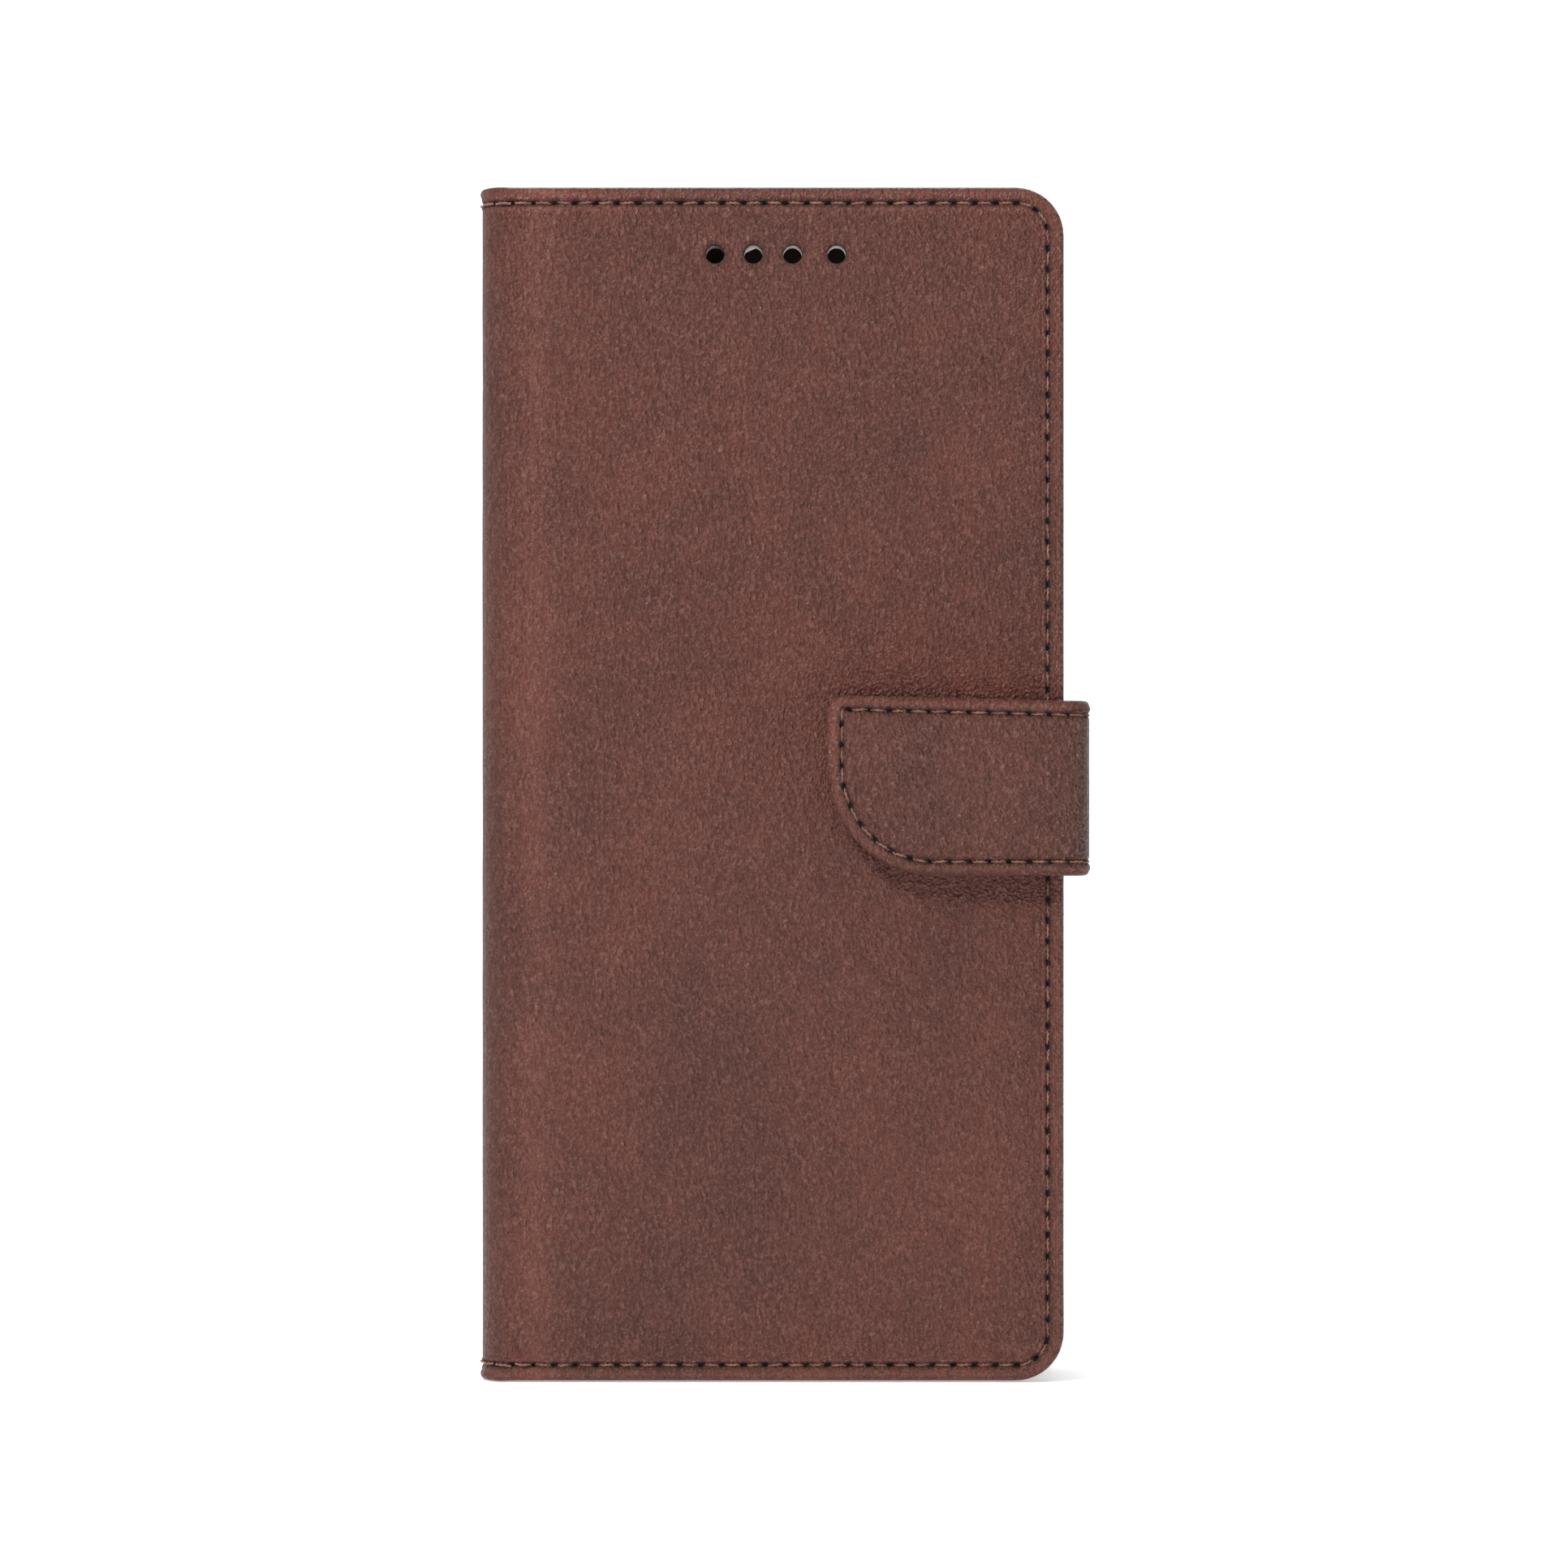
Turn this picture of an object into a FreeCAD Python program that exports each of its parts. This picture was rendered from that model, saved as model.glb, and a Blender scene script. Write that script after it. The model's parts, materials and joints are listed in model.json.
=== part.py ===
import FreeCAD, Part
import math
import os

V = FreeCAD.Vector

# A folio case for a phone: two stiffened leather covers joined by a spine, a moulded shell that
# grips the phone inside the back cover, a card panel inside the front cover, and a strap that
# comes out of the back cover's free edge, crosses the case's thickness and closes on the front.
#
# Everything is drawn standing and closed. X runs from the spine (-) to the free edge (+), Y runs
# from the front (-) to the back (+) and Z is up. While drawing, x = 0 is the middle of the covers,
# y = 0 is the back cover's outer face and z = 0 the bottom edge; to_origin then moves it all.

# ---------------------------------------------------------------- driving dimensions, millimetres

cover_overhang = 1.9             # leather beyond the phone's shell at the ends and free edge
cover_corner_radius = 6.8
bend_radius = 4.4                # outside radius where a cover turns into the spine

leather = 0.9                    # outer leather, and the wall of its turned edge
back_board = 1.0
back_lining = 0.5
spine_board = 0.6
spine_lining = 0.5
front_board = 1.1
front_lining = 0.3
pocket_cloth = 0.3               # one flat card pocket
pocket_gap = 0.05                # between two pockets that lie on each other
card_leather = 0.8
card_panel_margin = 0.4          # card panel's edge inside the cover's edge

phone_width = 75.3
phone_height = 161.4
phone_depth = 8.5
phone_corner_radius = 9.0
phone_fit = 0.2                  # cavity wall to phone, each side
phone_fit_depth = 0.1

shell_wall = 1.2
shell_floor = 1.2
shell_lip = 0.7                  # thickness of the rim that holds the phone in
shell_lip_reach = 0.9            # how far that rim reaches over the phone
shell_back_round = 1.6
shell_front_round = 0.3
adhesive = 0.3
shell_to_spine = 0.4
shell_to_card_panel = 0.4

window_width = 45.0              # camera opening in the back leather
window_height = 46.7
window_corner_radius = 11.5
window_from_free_edge = 6.5
window_from_top = 4.8
ring_fit = 0.1                   # shell's camera ring inside the leather's opening
ring_wall = 1.0
ring_proud = 0.5
ring_round = 0.35

port_width = 13.5
port_height = 6.5
grille_hole_radius = 0.9
grille_pitch = 2.9
grille_holes_each_side = 4
grille_from_port = 6.0

key_pad_height = 4.2
key_pad_proud = 0.25
power_key_length = 17.0
power_key_z = 112.0
volume_key_length = 11.0
volume_key_z = (112.0, 126.5)

seam_from_free_edge = 40.1       # fold seam down the back cover
seam_half_gap = 0.8              # from the seam to each back board
seam_below_window = 3.6

stitch_width = 0.6
stitch_depth = 0.3
stitch_proud = 0.12
edge_stitch_inset = 2.3
strap_stitch_inset = 2.0
seam_stop_above_edge = 4.2

speaker_hole_radius = 1.3
speaker_hole_from_spine = 33.3
speaker_hole_steps = (0.0, 5.4, 5.5, 6.2)
speaker_hole_from_top = 9.5

slot_names = ("upper", "middle", "lower")
slot_first_z = 126.8
slot_spacing = 17.0
slot_from_free_edge = 8.1        # welt's end to the free edge
slot_length = 62.0
slot_height = 3.6
welt_band = 2.0                  # leather binding all round a slot
welt_proud = 0.15
pocket_beyond_slot = 1.0         # pocket wider than its slot, each end
pocket_above_slot = 1.6
pocket_depth = 78.0              # from the slot's middle to the pocket's foot
pocket_room = 0.5                # clear of the lining around the pockets

strap_width = 24.6
strap_low = 71.1
strap_stand_off = 3.6            # strap outside the free edge, and its bend radius
strap_leather = 0.9
strap_lining = 0.6
strap_core = 0.9
strap_lining_margin = 0.3
strap_gap = 0.25                 # strap's flap to the front cover
tab_length = 12.0
tab_thickness = 1.0
tab_fit = 0.2
flap_length = 33.3
flap_rise = 0.8                  # top edge is this much higher at the tip
flap_top_radius = 2.6
flap_bottom_radius = 15.0

magnet_radius = 5.0
magnet_fit = 0.1
magnet_from_tip = 12.5
keeper_length = 18.0
keeper_height = 14.0
keeper_thickness = 0.6
keeper_fit = 0.1

# ------------------------------------------------------------------------------ worked-out places

back_depth = leather + back_board + back_lining
pockets_depth = len(slot_names) * pocket_cloth + (len(slot_names) - 1) * pocket_gap
front_filling = front_lining + pockets_depth
front_depth = leather + front_board + front_filling + card_leather
spine_depth = leather + spine_board + spine_lining
hinge_depth = leather + back_lining
cavity_width = phone_width + 2 * phone_fit
cavity_height = phone_height + 2 * phone_fit
cavity_depth = phone_depth + 2 * phone_fit_depth
shell_width = cavity_width + 2 * shell_wall
shell_height = cavity_height + 2 * shell_wall

case_height = shell_height + 2 * cover_overhang
cover_width = spine_depth + shell_to_spine + shell_width + cover_overhang
spine_x = -cover_width / 2
free_edge = cover_width / 2
bend_x = spine_x + bend_radius

shell_back_y = -back_depth - adhesive
shell_front_y = shell_back_y - shell_floor - cavity_depth - shell_lip
closed_depth = -shell_front_y + shell_to_card_panel + front_depth
shell_left = spine_x + spine_depth + shell_to_spine
shell_right = shell_left + shell_width
shell_low = cover_overhang
shell_high = shell_low + shell_height
cavity_middle_x = (shell_left + shell_right) / 2
cavity_middle_y = shell_back_y - shell_floor - cavity_depth / 2

window_right = free_edge - window_from_free_edge
window_left = window_right - window_width
window_top = case_height - window_from_top
window_bottom = window_top - window_height
seam_x = free_edge - seam_from_free_edge
welt_length = slot_length + 2 * welt_band
welt_height = slot_height + 2 * welt_band

strap_high = strap_low + strap_width
strap_thickness = strap_leather + strap_lining
flap_depth = strap_leather + strap_core + strap_lining
flap_front_y = -closed_depth - strap_gap - flap_depth
strap_outer_x = free_edge + strap_stand_off
strap_back_bend_y = -leather - strap_stand_off
strap_front_bend_y = flap_front_y + strap_stand_off
flap_tip_x = free_edge - flap_length
magnet_x = flap_tip_x + magnet_from_tip
magnet_z = strap_low + strap_width / 2

to_origin = V(
    -(spine_x + strap_outer_x) / 2,
    -(flap_front_y - stitch_proud + ring_proud) / 2,
    0,
)

# --------------------------------------------------------------------------------- drawing helpers


def box(x_range, y_range, z_range):
    corner = V(min(x_range), min(y_range), min(z_range))
    size = [abs(r[1] - r[0]) for r in (x_range, y_range, z_range)]
    return Part.makeBox(size[0], size[1], size[2], corner)


def rounded_wire(points, radii):
    """Closed outline in the XZ plane whose corners are tangent arcs."""
    count = len(points)
    corners = [V(x, 0, z) for x, z in points]
    edges = []
    last = None
    first = None
    for i in range(count):
        corner = corners[i]
        back = (corners[i - 1] - corner).normalize()
        ahead = (corners[(i + 1) % count] - corner).normalize()
        half = back.getAngle(ahead) / 2
        reach = radii[i] / math.tan(half)
        start = corner + back * reach
        end = corner + ahead * reach
        if last is not None:
            edges.append(Part.LineSegment(last, start).toShape())
        else:
            first = start
        if radii[i] > 0:
            middle = (back + ahead).normalize()
            top = corner + middle * (radii[i] / math.sin(half) - radii[i])
            edges.append(Part.Arc(start, top, end).toShape())
        last = end
    edges.append(Part.LineSegment(last, first).toShape())
    return Part.Wire(edges)


def inset_points(points, distance):
    """A convex outline, anticlockwise, with every side moved inwards by the same distance."""
    moved = []
    count = len(points)
    for i in range(count):
        sides = []
        for a, b in ((points[i - 1], points[i]), (points[i], points[(i + 1) % count])):
            run = math.hypot(b[0] - a[0], b[1] - a[1])
            inward = (-(b[1] - a[1]) / run, (b[0] - a[0]) / run)
            sides.append((inward, inward[0] * a[0] + inward[1] * a[1] + distance))
        (p, p_far), (q, q_far) = sides
        area = p[0] * q[1] - p[1] * q[0]
        moved.append(((p_far * q[1] - q_far * p[1]) / area, (p[0] * q_far - q[0] * p_far) / area))
    return moved


def plate(wire, y_from, y_to):
    face = Part.Face(wire)
    face.translate(V(0, y_from, 0))
    return face.extrude(V(0, y_to - y_from, 0))


def rounded_plate(x_range, z_range, radius, y_from, y_to):
    (x0, x1), (z0, z1) = x_range, z_range
    points = [(x0, z0), (x1, z0), (x1, z1), (x0, z1)]
    return plate(rounded_wire(points, [radius] * 4), y_from, y_to)


def window_plate(grow, y_from, y_to):
    """The camera opening's outline, grown or shrunk evenly."""
    x_range = (window_left - grow, window_right + grow)
    z_range = (window_bottom - grow, window_top + grow)
    return rounded_plate(x_range, z_range, window_corner_radius + grow, y_from, y_to)


def slot_plate(length, height, z, y_from, y_to):
    middle = free_edge - slot_from_free_edge - welt_length / 2
    x_range = (middle - length / 2, middle + length / 2)
    z_range = (z - height / 2, z + height / 2)
    return rounded_plate(x_range, z_range, height / 2 - 0.01, y_from, y_to)


def quarter_tube(x, y, outer, inner, start, low, high):
    """A quarter of a tube round a vertical axis, from the start angle anticlockwise."""
    tube = Part.makeCylinder(outer, high - low, V(x, y, low), V(0, 0, 1), 90)
    tube = tube.cut(Part.makeCylinder(inner, high - low, V(x, y, low)))
    tube.rotate(V(x, y, 0), V(0, 0, 1), start)
    return tube


def joined(*shapes):
    shape = shapes[0].fuse(list(shapes[1:]))
    return shape.removeSplitter()


def cover_slab(from_depth, to_depth, inset, left=None):
    """A flat layer of a cover, by depth below its outer face and inset from its three free edges."""
    left = bend_x if left is None else left
    low = inset
    high = case_height - inset
    right = free_edge - inset
    radius = cover_corner_radius - inset
    wire = rounded_wire([(left, low), (right, low), (right, high), (left, high)], [0, radius, radius, 0])
    return plate(wire, -from_depth, -to_depth)


def cover_bend(from_depth, to_depth, low, high):
    """The same layer where it turns into the spine."""
    outer = bend_radius - from_depth
    inner = bend_radius - to_depth
    return quarter_tube(bend_x, -bend_radius, outer, inner, 90, low, high)


def spine_strip(from_depth, to_depth, low, high, trim=0.0):
    y_range = (-bend_radius - trim, -closed_depth + bend_radius + trim)
    return box((spine_x + from_depth, spine_x + to_depth), y_range, (low, high))


def to_front(shape):
    """From the back cover's side to the front cover's side."""
    return shape.mirror(V(0, -closed_depth / 2, 0), V(0, 1, 0))


# ------------------------------------------------------------------------------------ cover pieces


def leather_cover(depth):
    """Outer leather with its edges turned in over the stiffener, and the bend into the spine."""
    turned = cover_slab(leather, depth, 0).cut(cover_slab(leather, depth, leather))
    pieces = [cover_slab(0, leather, 0), turned, cover_bend(0, leather, 0, case_height)]
    pieces.append(cover_bend(leather, hinge_depth, 0, leather))
    pieces.append(cover_bend(leather, hinge_depth, case_height - leather, case_height))
    return joined(*pieces)


def lining_cover(from_depth, to_depth):
    """Lining that steps down off the board's edge and follows the leather round the bend."""
    low = leather
    high = case_height - leather
    step = box((bend_x, bend_x + back_lining), (-leather, -to_depth), (low, high))
    bend = cover_bend(leather, hinge_depth, low, high)
    return joined(cover_slab(from_depth, to_depth, leather), step, bend)


def edge_stitches(inset):
    """The row of stitches round a cover's three free edges, as one bead let into the leather."""
    near = inset - stitch_width / 2
    far = inset + stitch_width / 2
    outside = cover_slab(-stitch_proud, stitch_depth, near)
    row = outside.cut(cover_slab(-stitch_proud, stitch_depth, far))
    bottom = cover_bend(-stitch_proud, stitch_depth, near, far)
    top = cover_bend(-stitch_proud, stitch_depth, case_height - far, case_height - near)
    return joined(row, bottom, top)


def speaker_holes():
    holes = []
    x = spine_x + speaker_hole_from_spine
    for step in speaker_hole_steps:
        x += step
        start = V(x, -closed_depth - 1, case_height - speaker_hole_from_top)
        holes.append(Part.makeCylinder(speaker_hole_radius, front_depth + 2, start, V(0, 1, 0)))
    return holes


# ------------------------------------------------------------------------------------- back cover


def strap_tab():
    """The strap's root, glued between leather and lining, and its bend outside the edge."""
    tab = box(
        (free_edge - tab_length, free_edge),
        (-leather, -leather - tab_thickness),
        (strap_low, strap_high),
    )
    outer = strap_stand_off
    inner = strap_stand_off - strap_thickness
    bend = quarter_tube(free_edge, strap_back_bend_y, outer, inner, 0, strap_low, strap_high)
    return joined(tab, bend).cut(strap_stitches_back_bend())


def tab_room(fit):
    return box(
        (free_edge - tab_length - fit, free_edge + 1),
        (-leather, -leather - tab_thickness),
        (strap_low - fit, strap_high + fit),
    )


def seam_stitches():
    return box(
        (seam_x - stitch_width / 2, seam_x + stitch_width / 2),
        (stitch_proud, -stitch_depth),
        (seam_stop_above_edge, window_bottom - seam_below_window),
    )


def back_leather():
    cover = leather_cover(back_depth)
    tools = [window_plate(0, 1, -back_depth - 1), tab_room(0)]
    return cover.cut(tools + [edge_stitches(edge_stitch_inset), seam_stitches()])


def back_boards():
    """Two stiffeners that leave the fold seam soft. The strap's side has a notch for the tab."""
    left = bend_x + back_lining
    board = cover_slab(leather, leather + back_board, leather, left)
    board = board.cut([window_plate(0, 1, -back_depth - 1), tab_room(tab_fit)])
    depth_range = (0, -back_depth)
    height_range = (0, case_height)
    strap_side = box((seam_x + seam_half_gap, free_edge), depth_range, height_range)
    spine_side = box((spine_x, seam_x - seam_half_gap), depth_range, height_range)
    return board.common(strap_side), board.common(spine_side)


def back_lining_sheet():
    sheet = lining_cover(leather + back_board, back_depth)
    return sheet.cut(window_plate(0, 1, -back_depth - 1))


def adhesive_pad():
    margin = 4.0
    x_range = (seam_x + margin, shell_right - margin)
    z_range = (shell_low + margin, window_bottom - margin)
    return rounded_plate(x_range, z_range, margin, -back_depth, shell_back_y)


def key_pads():
    pads = []
    y_range = (cavity_middle_y - key_pad_height / 2, cavity_middle_y + key_pad_height / 2)
    outside = (shell_right, shell_right + key_pad_proud)
    inside = (shell_left - key_pad_proud, shell_left)
    keys = [(outside, power_key_z, power_key_length)]
    keys += [(inside, z, volume_key_length) for z in volume_key_z]
    for x_range, z, length in keys:
        pads.append(box(x_range, y_range, (z - length / 2, z + length / 2)))
    return pads


def port_cuts():
    """Charging opening in the bottom wall with a row of round sound holes on each side."""
    low = shell_low - 1
    depth = shell_wall + 2
    side = port_width / 2 - port_height / 2
    cuts = [
        box(
            (cavity_middle_x - side, cavity_middle_x + side),
            (cavity_middle_y - port_height / 2, cavity_middle_y + port_height / 2),
            (low, low + depth),
        )
    ]
    for way in (-1, 1):
        x = cavity_middle_x + way * side
        cuts.append(Part.makeCylinder(port_height / 2, depth, V(x, cavity_middle_y, low)))
        for i in range(grille_holes_each_side):
            x = cavity_middle_x + way * (port_width / 2 + grille_from_port + i * grille_pitch)
            cuts.append(Part.makeCylinder(grille_hole_radius, depth, V(x, cavity_middle_y, low)))
    return cuts


def rounded_along(shape, y, radius):
    edges = [e for e in shape.Edges if all(abs(v.Y - y) < 1e-6 for v in e.Vertexes)]
    return shape.makeFillet(radius, edges)


def phone_shell():
    """One soft moulding: floor, walls, holding rim, camera ring and key pads."""
    radius = phone_corner_radius + shell_wall
    body = rounded_plate(
        (shell_left, shell_right), (shell_low, shell_high), radius, shell_back_y, shell_front_y
    )
    body = rounded_along(body, shell_back_y, shell_back_round)
    body = rounded_along(body, shell_front_y, shell_front_round)
    ring = window_plate(-ring_fit, shell_back_y, ring_proud)
    body = joined(body, ring, *key_pads())
    cavity_x = (shell_left + shell_wall, shell_right - shell_wall)
    cavity_z = (shell_low + shell_wall, shell_high - shell_wall)
    lip_y = shell_front_y + shell_lip
    cavity = rounded_plate(cavity_x, cavity_z, phone_corner_radius, shell_back_y - shell_floor, lip_y)
    reach = shell_lip_reach
    mouth = rounded_plate(
        (cavity_x[0] + reach, cavity_x[1] - reach),
        (cavity_z[0] + reach, cavity_z[1] - reach),
        phone_corner_radius - reach,
        lip_y,
        shell_front_y - 1,
    )
    view = window_plate(-ring_fit - ring_wall, shell_back_y - shell_floor - 1, ring_proud + 1)
    body = body.cut([cavity, mouth, view] + port_cuts())
    return rounded_along(body, ring_proud, ring_round)


# ------------------------------------------------------------------------------------------ spine


def spine_stitches():
    near = edge_stitch_inset - stitch_width / 2
    far = edge_stitch_inset + stitch_width / 2
    bottom = spine_strip(-stitch_proud, stitch_depth, near, far)
    top = spine_strip(-stitch_proud, stitch_depth, case_height - far, case_height - near)
    return Part.makeCompound([bottom, top])


def spine_leather():
    strip = spine_strip(0, leather, 0, case_height)
    bottom = spine_strip(leather, hinge_depth, 0, leather)
    top = spine_strip(leather, hinge_depth, case_height - leather, case_height)
    return joined(strip, bottom, top).cut(spine_stitches())


def spine_board_strip():
    low = leather
    high = case_height - leather
    return spine_strip(leather, leather + spine_board, low, high, spine_lining)


def spine_lining_strip():
    low = leather
    high = case_height - leather
    ends = spine_strip(leather, spine_depth, low, high)
    board_room = spine_strip(leather, leather + spine_board, low, high, spine_lining)
    return ends.cut(board_room)


# ------------------------------------------------------------------------------------ front cover


def front_leather():
    cover = to_front(leather_cover(front_depth - card_leather))
    return cover.cut([to_front(edge_stitches(edge_stitch_inset))] + speaker_holes())


def front_at(depth):
    """The y of a plane at this depth below the front cover's outer face."""
    return -closed_depth + depth


def keeper(fit):
    y_from = front_at(leather)
    return box(
        (magnet_x - keeper_length / 2 - fit, magnet_x + keeper_length / 2 + fit),
        (y_from, y_from + keeper_thickness),
        (magnet_z - keeper_height / 2 - fit, magnet_z + keeper_height / 2 + fit),
    )


def front_board_sheet():
    left = bend_x + back_lining
    board = to_front(cover_slab(leather, leather + front_board, leather, left))
    return board.cut([keeper(keeper_fit)] + speaker_holes())


def slot_z(index):
    return slot_first_z - index * slot_spacing


def pocket(index, room=0.0, full_depth=False):
    """A flat cloth pocket hanging behind its slot. The lowest slot's pocket lies on the others."""
    half = slot_length / 2 + pocket_beyond_slot + room
    middle = free_edge - slot_from_free_edge - welt_length / 2
    depth = leather + front_board + front_lining + index * (pocket_cloth + pocket_gap)
    to_depth = depth + pocket_cloth
    if full_depth:
        depth = leather + front_board + front_lining
        to_depth = depth + pockets_depth
    return box(
        (middle - half, middle + half),
        (front_at(depth), front_at(to_depth)),
        (slot_z(index) - pocket_depth - room, slot_z(index) + slot_height / 2 + pocket_above_slot + room),
    )


def front_lining_sheet():
    """Padding behind the card panel, hollowed where the card pockets lie."""
    depth = leather + front_board
    sheet = to_front(lining_cover(depth, depth + front_filling))
    rooms = [pocket(i, pocket_room, True) for i in range(len(slot_names))]
    return sheet.cut(rooms + speaker_holes())


def card_panel():
    depth = front_depth - card_leather
    panel = to_front(cover_slab(depth, front_depth, card_panel_margin))
    welts = [slot_plate(welt_length, welt_height, slot_z(i), *panel_faces()) for i in range(len(slot_names))]
    return panel.cut(welts + [card_stitches()] + speaker_holes())


def panel_faces():
    return front_at(front_depth - card_leather), front_at(front_depth + welt_proud)


def slot_welt(index):
    """Leather binding sewn round a card slot, standing a little proud of the panel."""
    welt = slot_plate(welt_length, welt_height, slot_z(index), *panel_faces())
    return welt.cut(slot_plate(slot_length, slot_height, slot_z(index), *panel_faces()))


def card_stitches():
    """The front cover's edge stitches as they show on the card panel, spine side included."""
    near = edge_stitch_inset - stitch_width / 2
    far = edge_stitch_inset + stitch_width / 2
    depth = front_depth - stitch_depth
    proud = front_depth + stitch_proud
    outside = cover_slab(depth, proud, near, bend_x + near)
    inside = cover_slab(depth, proud, far, bend_x + far)
    return to_front(outside.cut(inside))


# ------------------------------------------------------------------------------------------ strap


def strap_rows():
    """Heights of the two long rows of stitches on the strap."""
    rows = []
    for z in (strap_low + strap_stitch_inset, strap_high - strap_stitch_inset):
        rows.append((z - stitch_width / 2, z + stitch_width / 2))
    return rows


def strap_stitches_back_bend():
    outer = strap_stand_off + stitch_proud
    inner = strap_stand_off - stitch_depth
    bends = [quarter_tube(free_edge, strap_back_bend_y, outer, inner, 0, *row) for row in strap_rows()]
    return Part.makeCompound(bends)


def strap_band(from_depth, to_depth, low, high):
    x_range = (strap_outer_x - from_depth, strap_outer_x - to_depth)
    return box(x_range, (strap_back_bend_y, strap_front_bend_y), (low, high))


def band_stitches():
    rows = [strap_band(-stitch_proud, stitch_depth, *row) for row in strap_rows()]
    return Part.makeCompound(rows)


def flap_bend(from_depth, to_depth, low, high):
    outer = strap_stand_off - from_depth
    inner = strap_stand_off - to_depth
    return quarter_tube(free_edge, strap_front_bend_y, outer, inner, -90, low, high)


def flap_slab(from_depth, to_depth, inset, right=None):
    """A flat layer of the flap, by depth below its outer face and inset from its free edges."""
    beyond = 10.0
    slope = flap_rise / flap_length
    points = [
        (flap_tip_x, strap_low),
        (free_edge + beyond, strap_low),
        (free_edge + beyond, strap_high - slope * beyond),
        (flap_tip_x, strap_high + flap_rise),
    ]
    radii = [flap_bottom_radius - inset, 0, 0, max(flap_top_radius - inset, 0.3)]
    wire = rounded_wire(inset_points(points, inset), radii)
    slab = plate(wire, flap_front_y + from_depth, flap_front_y + to_depth)
    right = free_edge if right is None else right
    keep = box((flap_tip_x - 1, right), (-closed_depth - 10, 0), (strap_low - 1, strap_high + 2))
    return slab.common(keep)


def flap_stitches():
    """Along both edges, round the tip, and over the front bend."""
    near = strap_stitch_inset - stitch_width / 2
    far = strap_stitch_inset + stitch_width / 2
    row = flap_slab(-stitch_proud, stitch_depth, near).cut(flap_slab(-stitch_proud, stitch_depth, far))
    bends = [flap_bend(-stitch_proud, stitch_depth, *ends) for ends in strap_rows()]
    return joined(row, *bends)


def flap_leather():
    core_depth = strap_leather + strap_core
    step = strap_lining
    face = flap_slab(0, strap_leather, 0)
    turned = flap_slab(strap_leather, core_depth, 0, free_edge - step)
    turned = turned.cut(flap_slab(strap_leather, core_depth, strap_leather))
    bend = flap_bend(0, strap_leather, strap_low, strap_high)
    return joined(face, turned, bend).cut(flap_stitches())


def magnet_room(fit):
    start = V(magnet_x, flap_front_y + strap_leather, magnet_z)
    return Part.makeCylinder(magnet_radius + fit, strap_core, start, V(0, 1, 0))


def flap_core():
    core_depth = strap_leather + strap_core
    core = flap_slab(strap_leather, core_depth, strap_leather, free_edge - strap_lining)
    return core.cut(magnet_room(magnet_fit))


def flap_lining():
    """Lies under the core and steps out to the leather where the strap bends."""
    core_depth = strap_leather + strap_core
    sheet = flap_slab(core_depth, flap_depth, strap_lining_margin)
    step = box(
        (free_edge - strap_lining, free_edge),
        (flap_front_y + strap_leather, flap_front_y + flap_depth),
        (strap_low + strap_lining_margin, strap_high - strap_lining_margin),
    )
    bend = flap_bend(
        strap_leather,
        strap_thickness,
        strap_low + strap_lining_margin,
        strap_high - strap_lining_margin,
    )
    return joined(sheet, step, bend)


# ------------------------------------------------------------------------------------- the pieces


def all_nodes():
    strap_board, spine_side_board = back_boards()
    nodes = {
        "phone_shell": phone_shell(),
        "back_leather": back_leather(),
        "back_board_strap_side": strap_board,
        "back_board_spine_side": spine_side_board,
        "back_lining": back_lining_sheet(),
        "shell_adhesive": adhesive_pad(),
        "strap_anchor_tab": strap_tab(),
        "back_edge_thread": edge_stitches(edge_stitch_inset),
        "fold_seam_thread": seam_stitches(),
        "spine_leather": spine_leather(),
        "spine_board": spine_board_strip(),
        "spine_lining": spine_lining_strip(),
        "spine_edge_thread": spine_stitches(),
        "front_leather": front_leather(),
        "front_board": front_board_sheet(),
        "keeper_plate": keeper(0.0),
        "front_lining": front_lining_sheet(),
        "card_panel": card_panel(),
        "front_edge_thread": to_front(edge_stitches(edge_stitch_inset)),
        "card_panel_thread": card_stitches(),
        "strap_root_thread": strap_stitches_back_bend(),
        "strap_band_leather": strap_band(0, strap_leather, strap_low, strap_high).cut(band_stitches()),
        "strap_band_lining": strap_band(
            strap_leather,
            strap_thickness,
            strap_low + strap_lining_margin,
            strap_high - strap_lining_margin,
        ),
        "strap_band_thread": band_stitches(),
        "strap_flap_leather": flap_leather(),
        "strap_flap_core": flap_core(),
        "strap_flap_lining": flap_lining(),
        "strap_magnet": magnet_room(0.0),
        "strap_flap_thread": flap_stitches(),
    }
    for index, name in enumerate(slot_names):
        nodes["slot_welt_" + name] = slot_welt(index)
        nodes["card_pocket_" + name] = pocket(index)
    return nodes


def report_place(name, x, y, z):
    point = V(x, y, z) + to_origin
    print(f"place {name} {point.x:.4f} {point.y:.4f} {point.z:.4f}")


def main():
    os.makedirs("parts", exist_ok=True)
    for name, shape in all_nodes().items():
        shape.translate(to_origin)
        shape.exportStep(f"parts/{name}.step")
        solids = len(shape.Solids)
        print(f"{name}: {solids} solid(s), {shape.Volume:.1f} mm3, valid {shape.isValid()}")
    report_place("spine_hinge", spine_x, 0, 0)
    report_place("cover_hinge", spine_x, -closed_depth, 0)
    report_place("strap_root_hinge", strap_outer_x, -leather, 0)
    report_place("strap_flap_hinge", strap_outer_x, flap_front_y, 0)
    report_place("cavity_middle", cavity_middle_x, cavity_middle_y, case_height / 2)
    report_place("window_low", window_left, 0, window_bottom)
    report_place("window_high", window_right, 0, window_top)
    report_place("shell_low", shell_left, shell_back_y, shell_low)
    report_place("shell_high", shell_right, shell_front_y, shell_high)


main()
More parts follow.
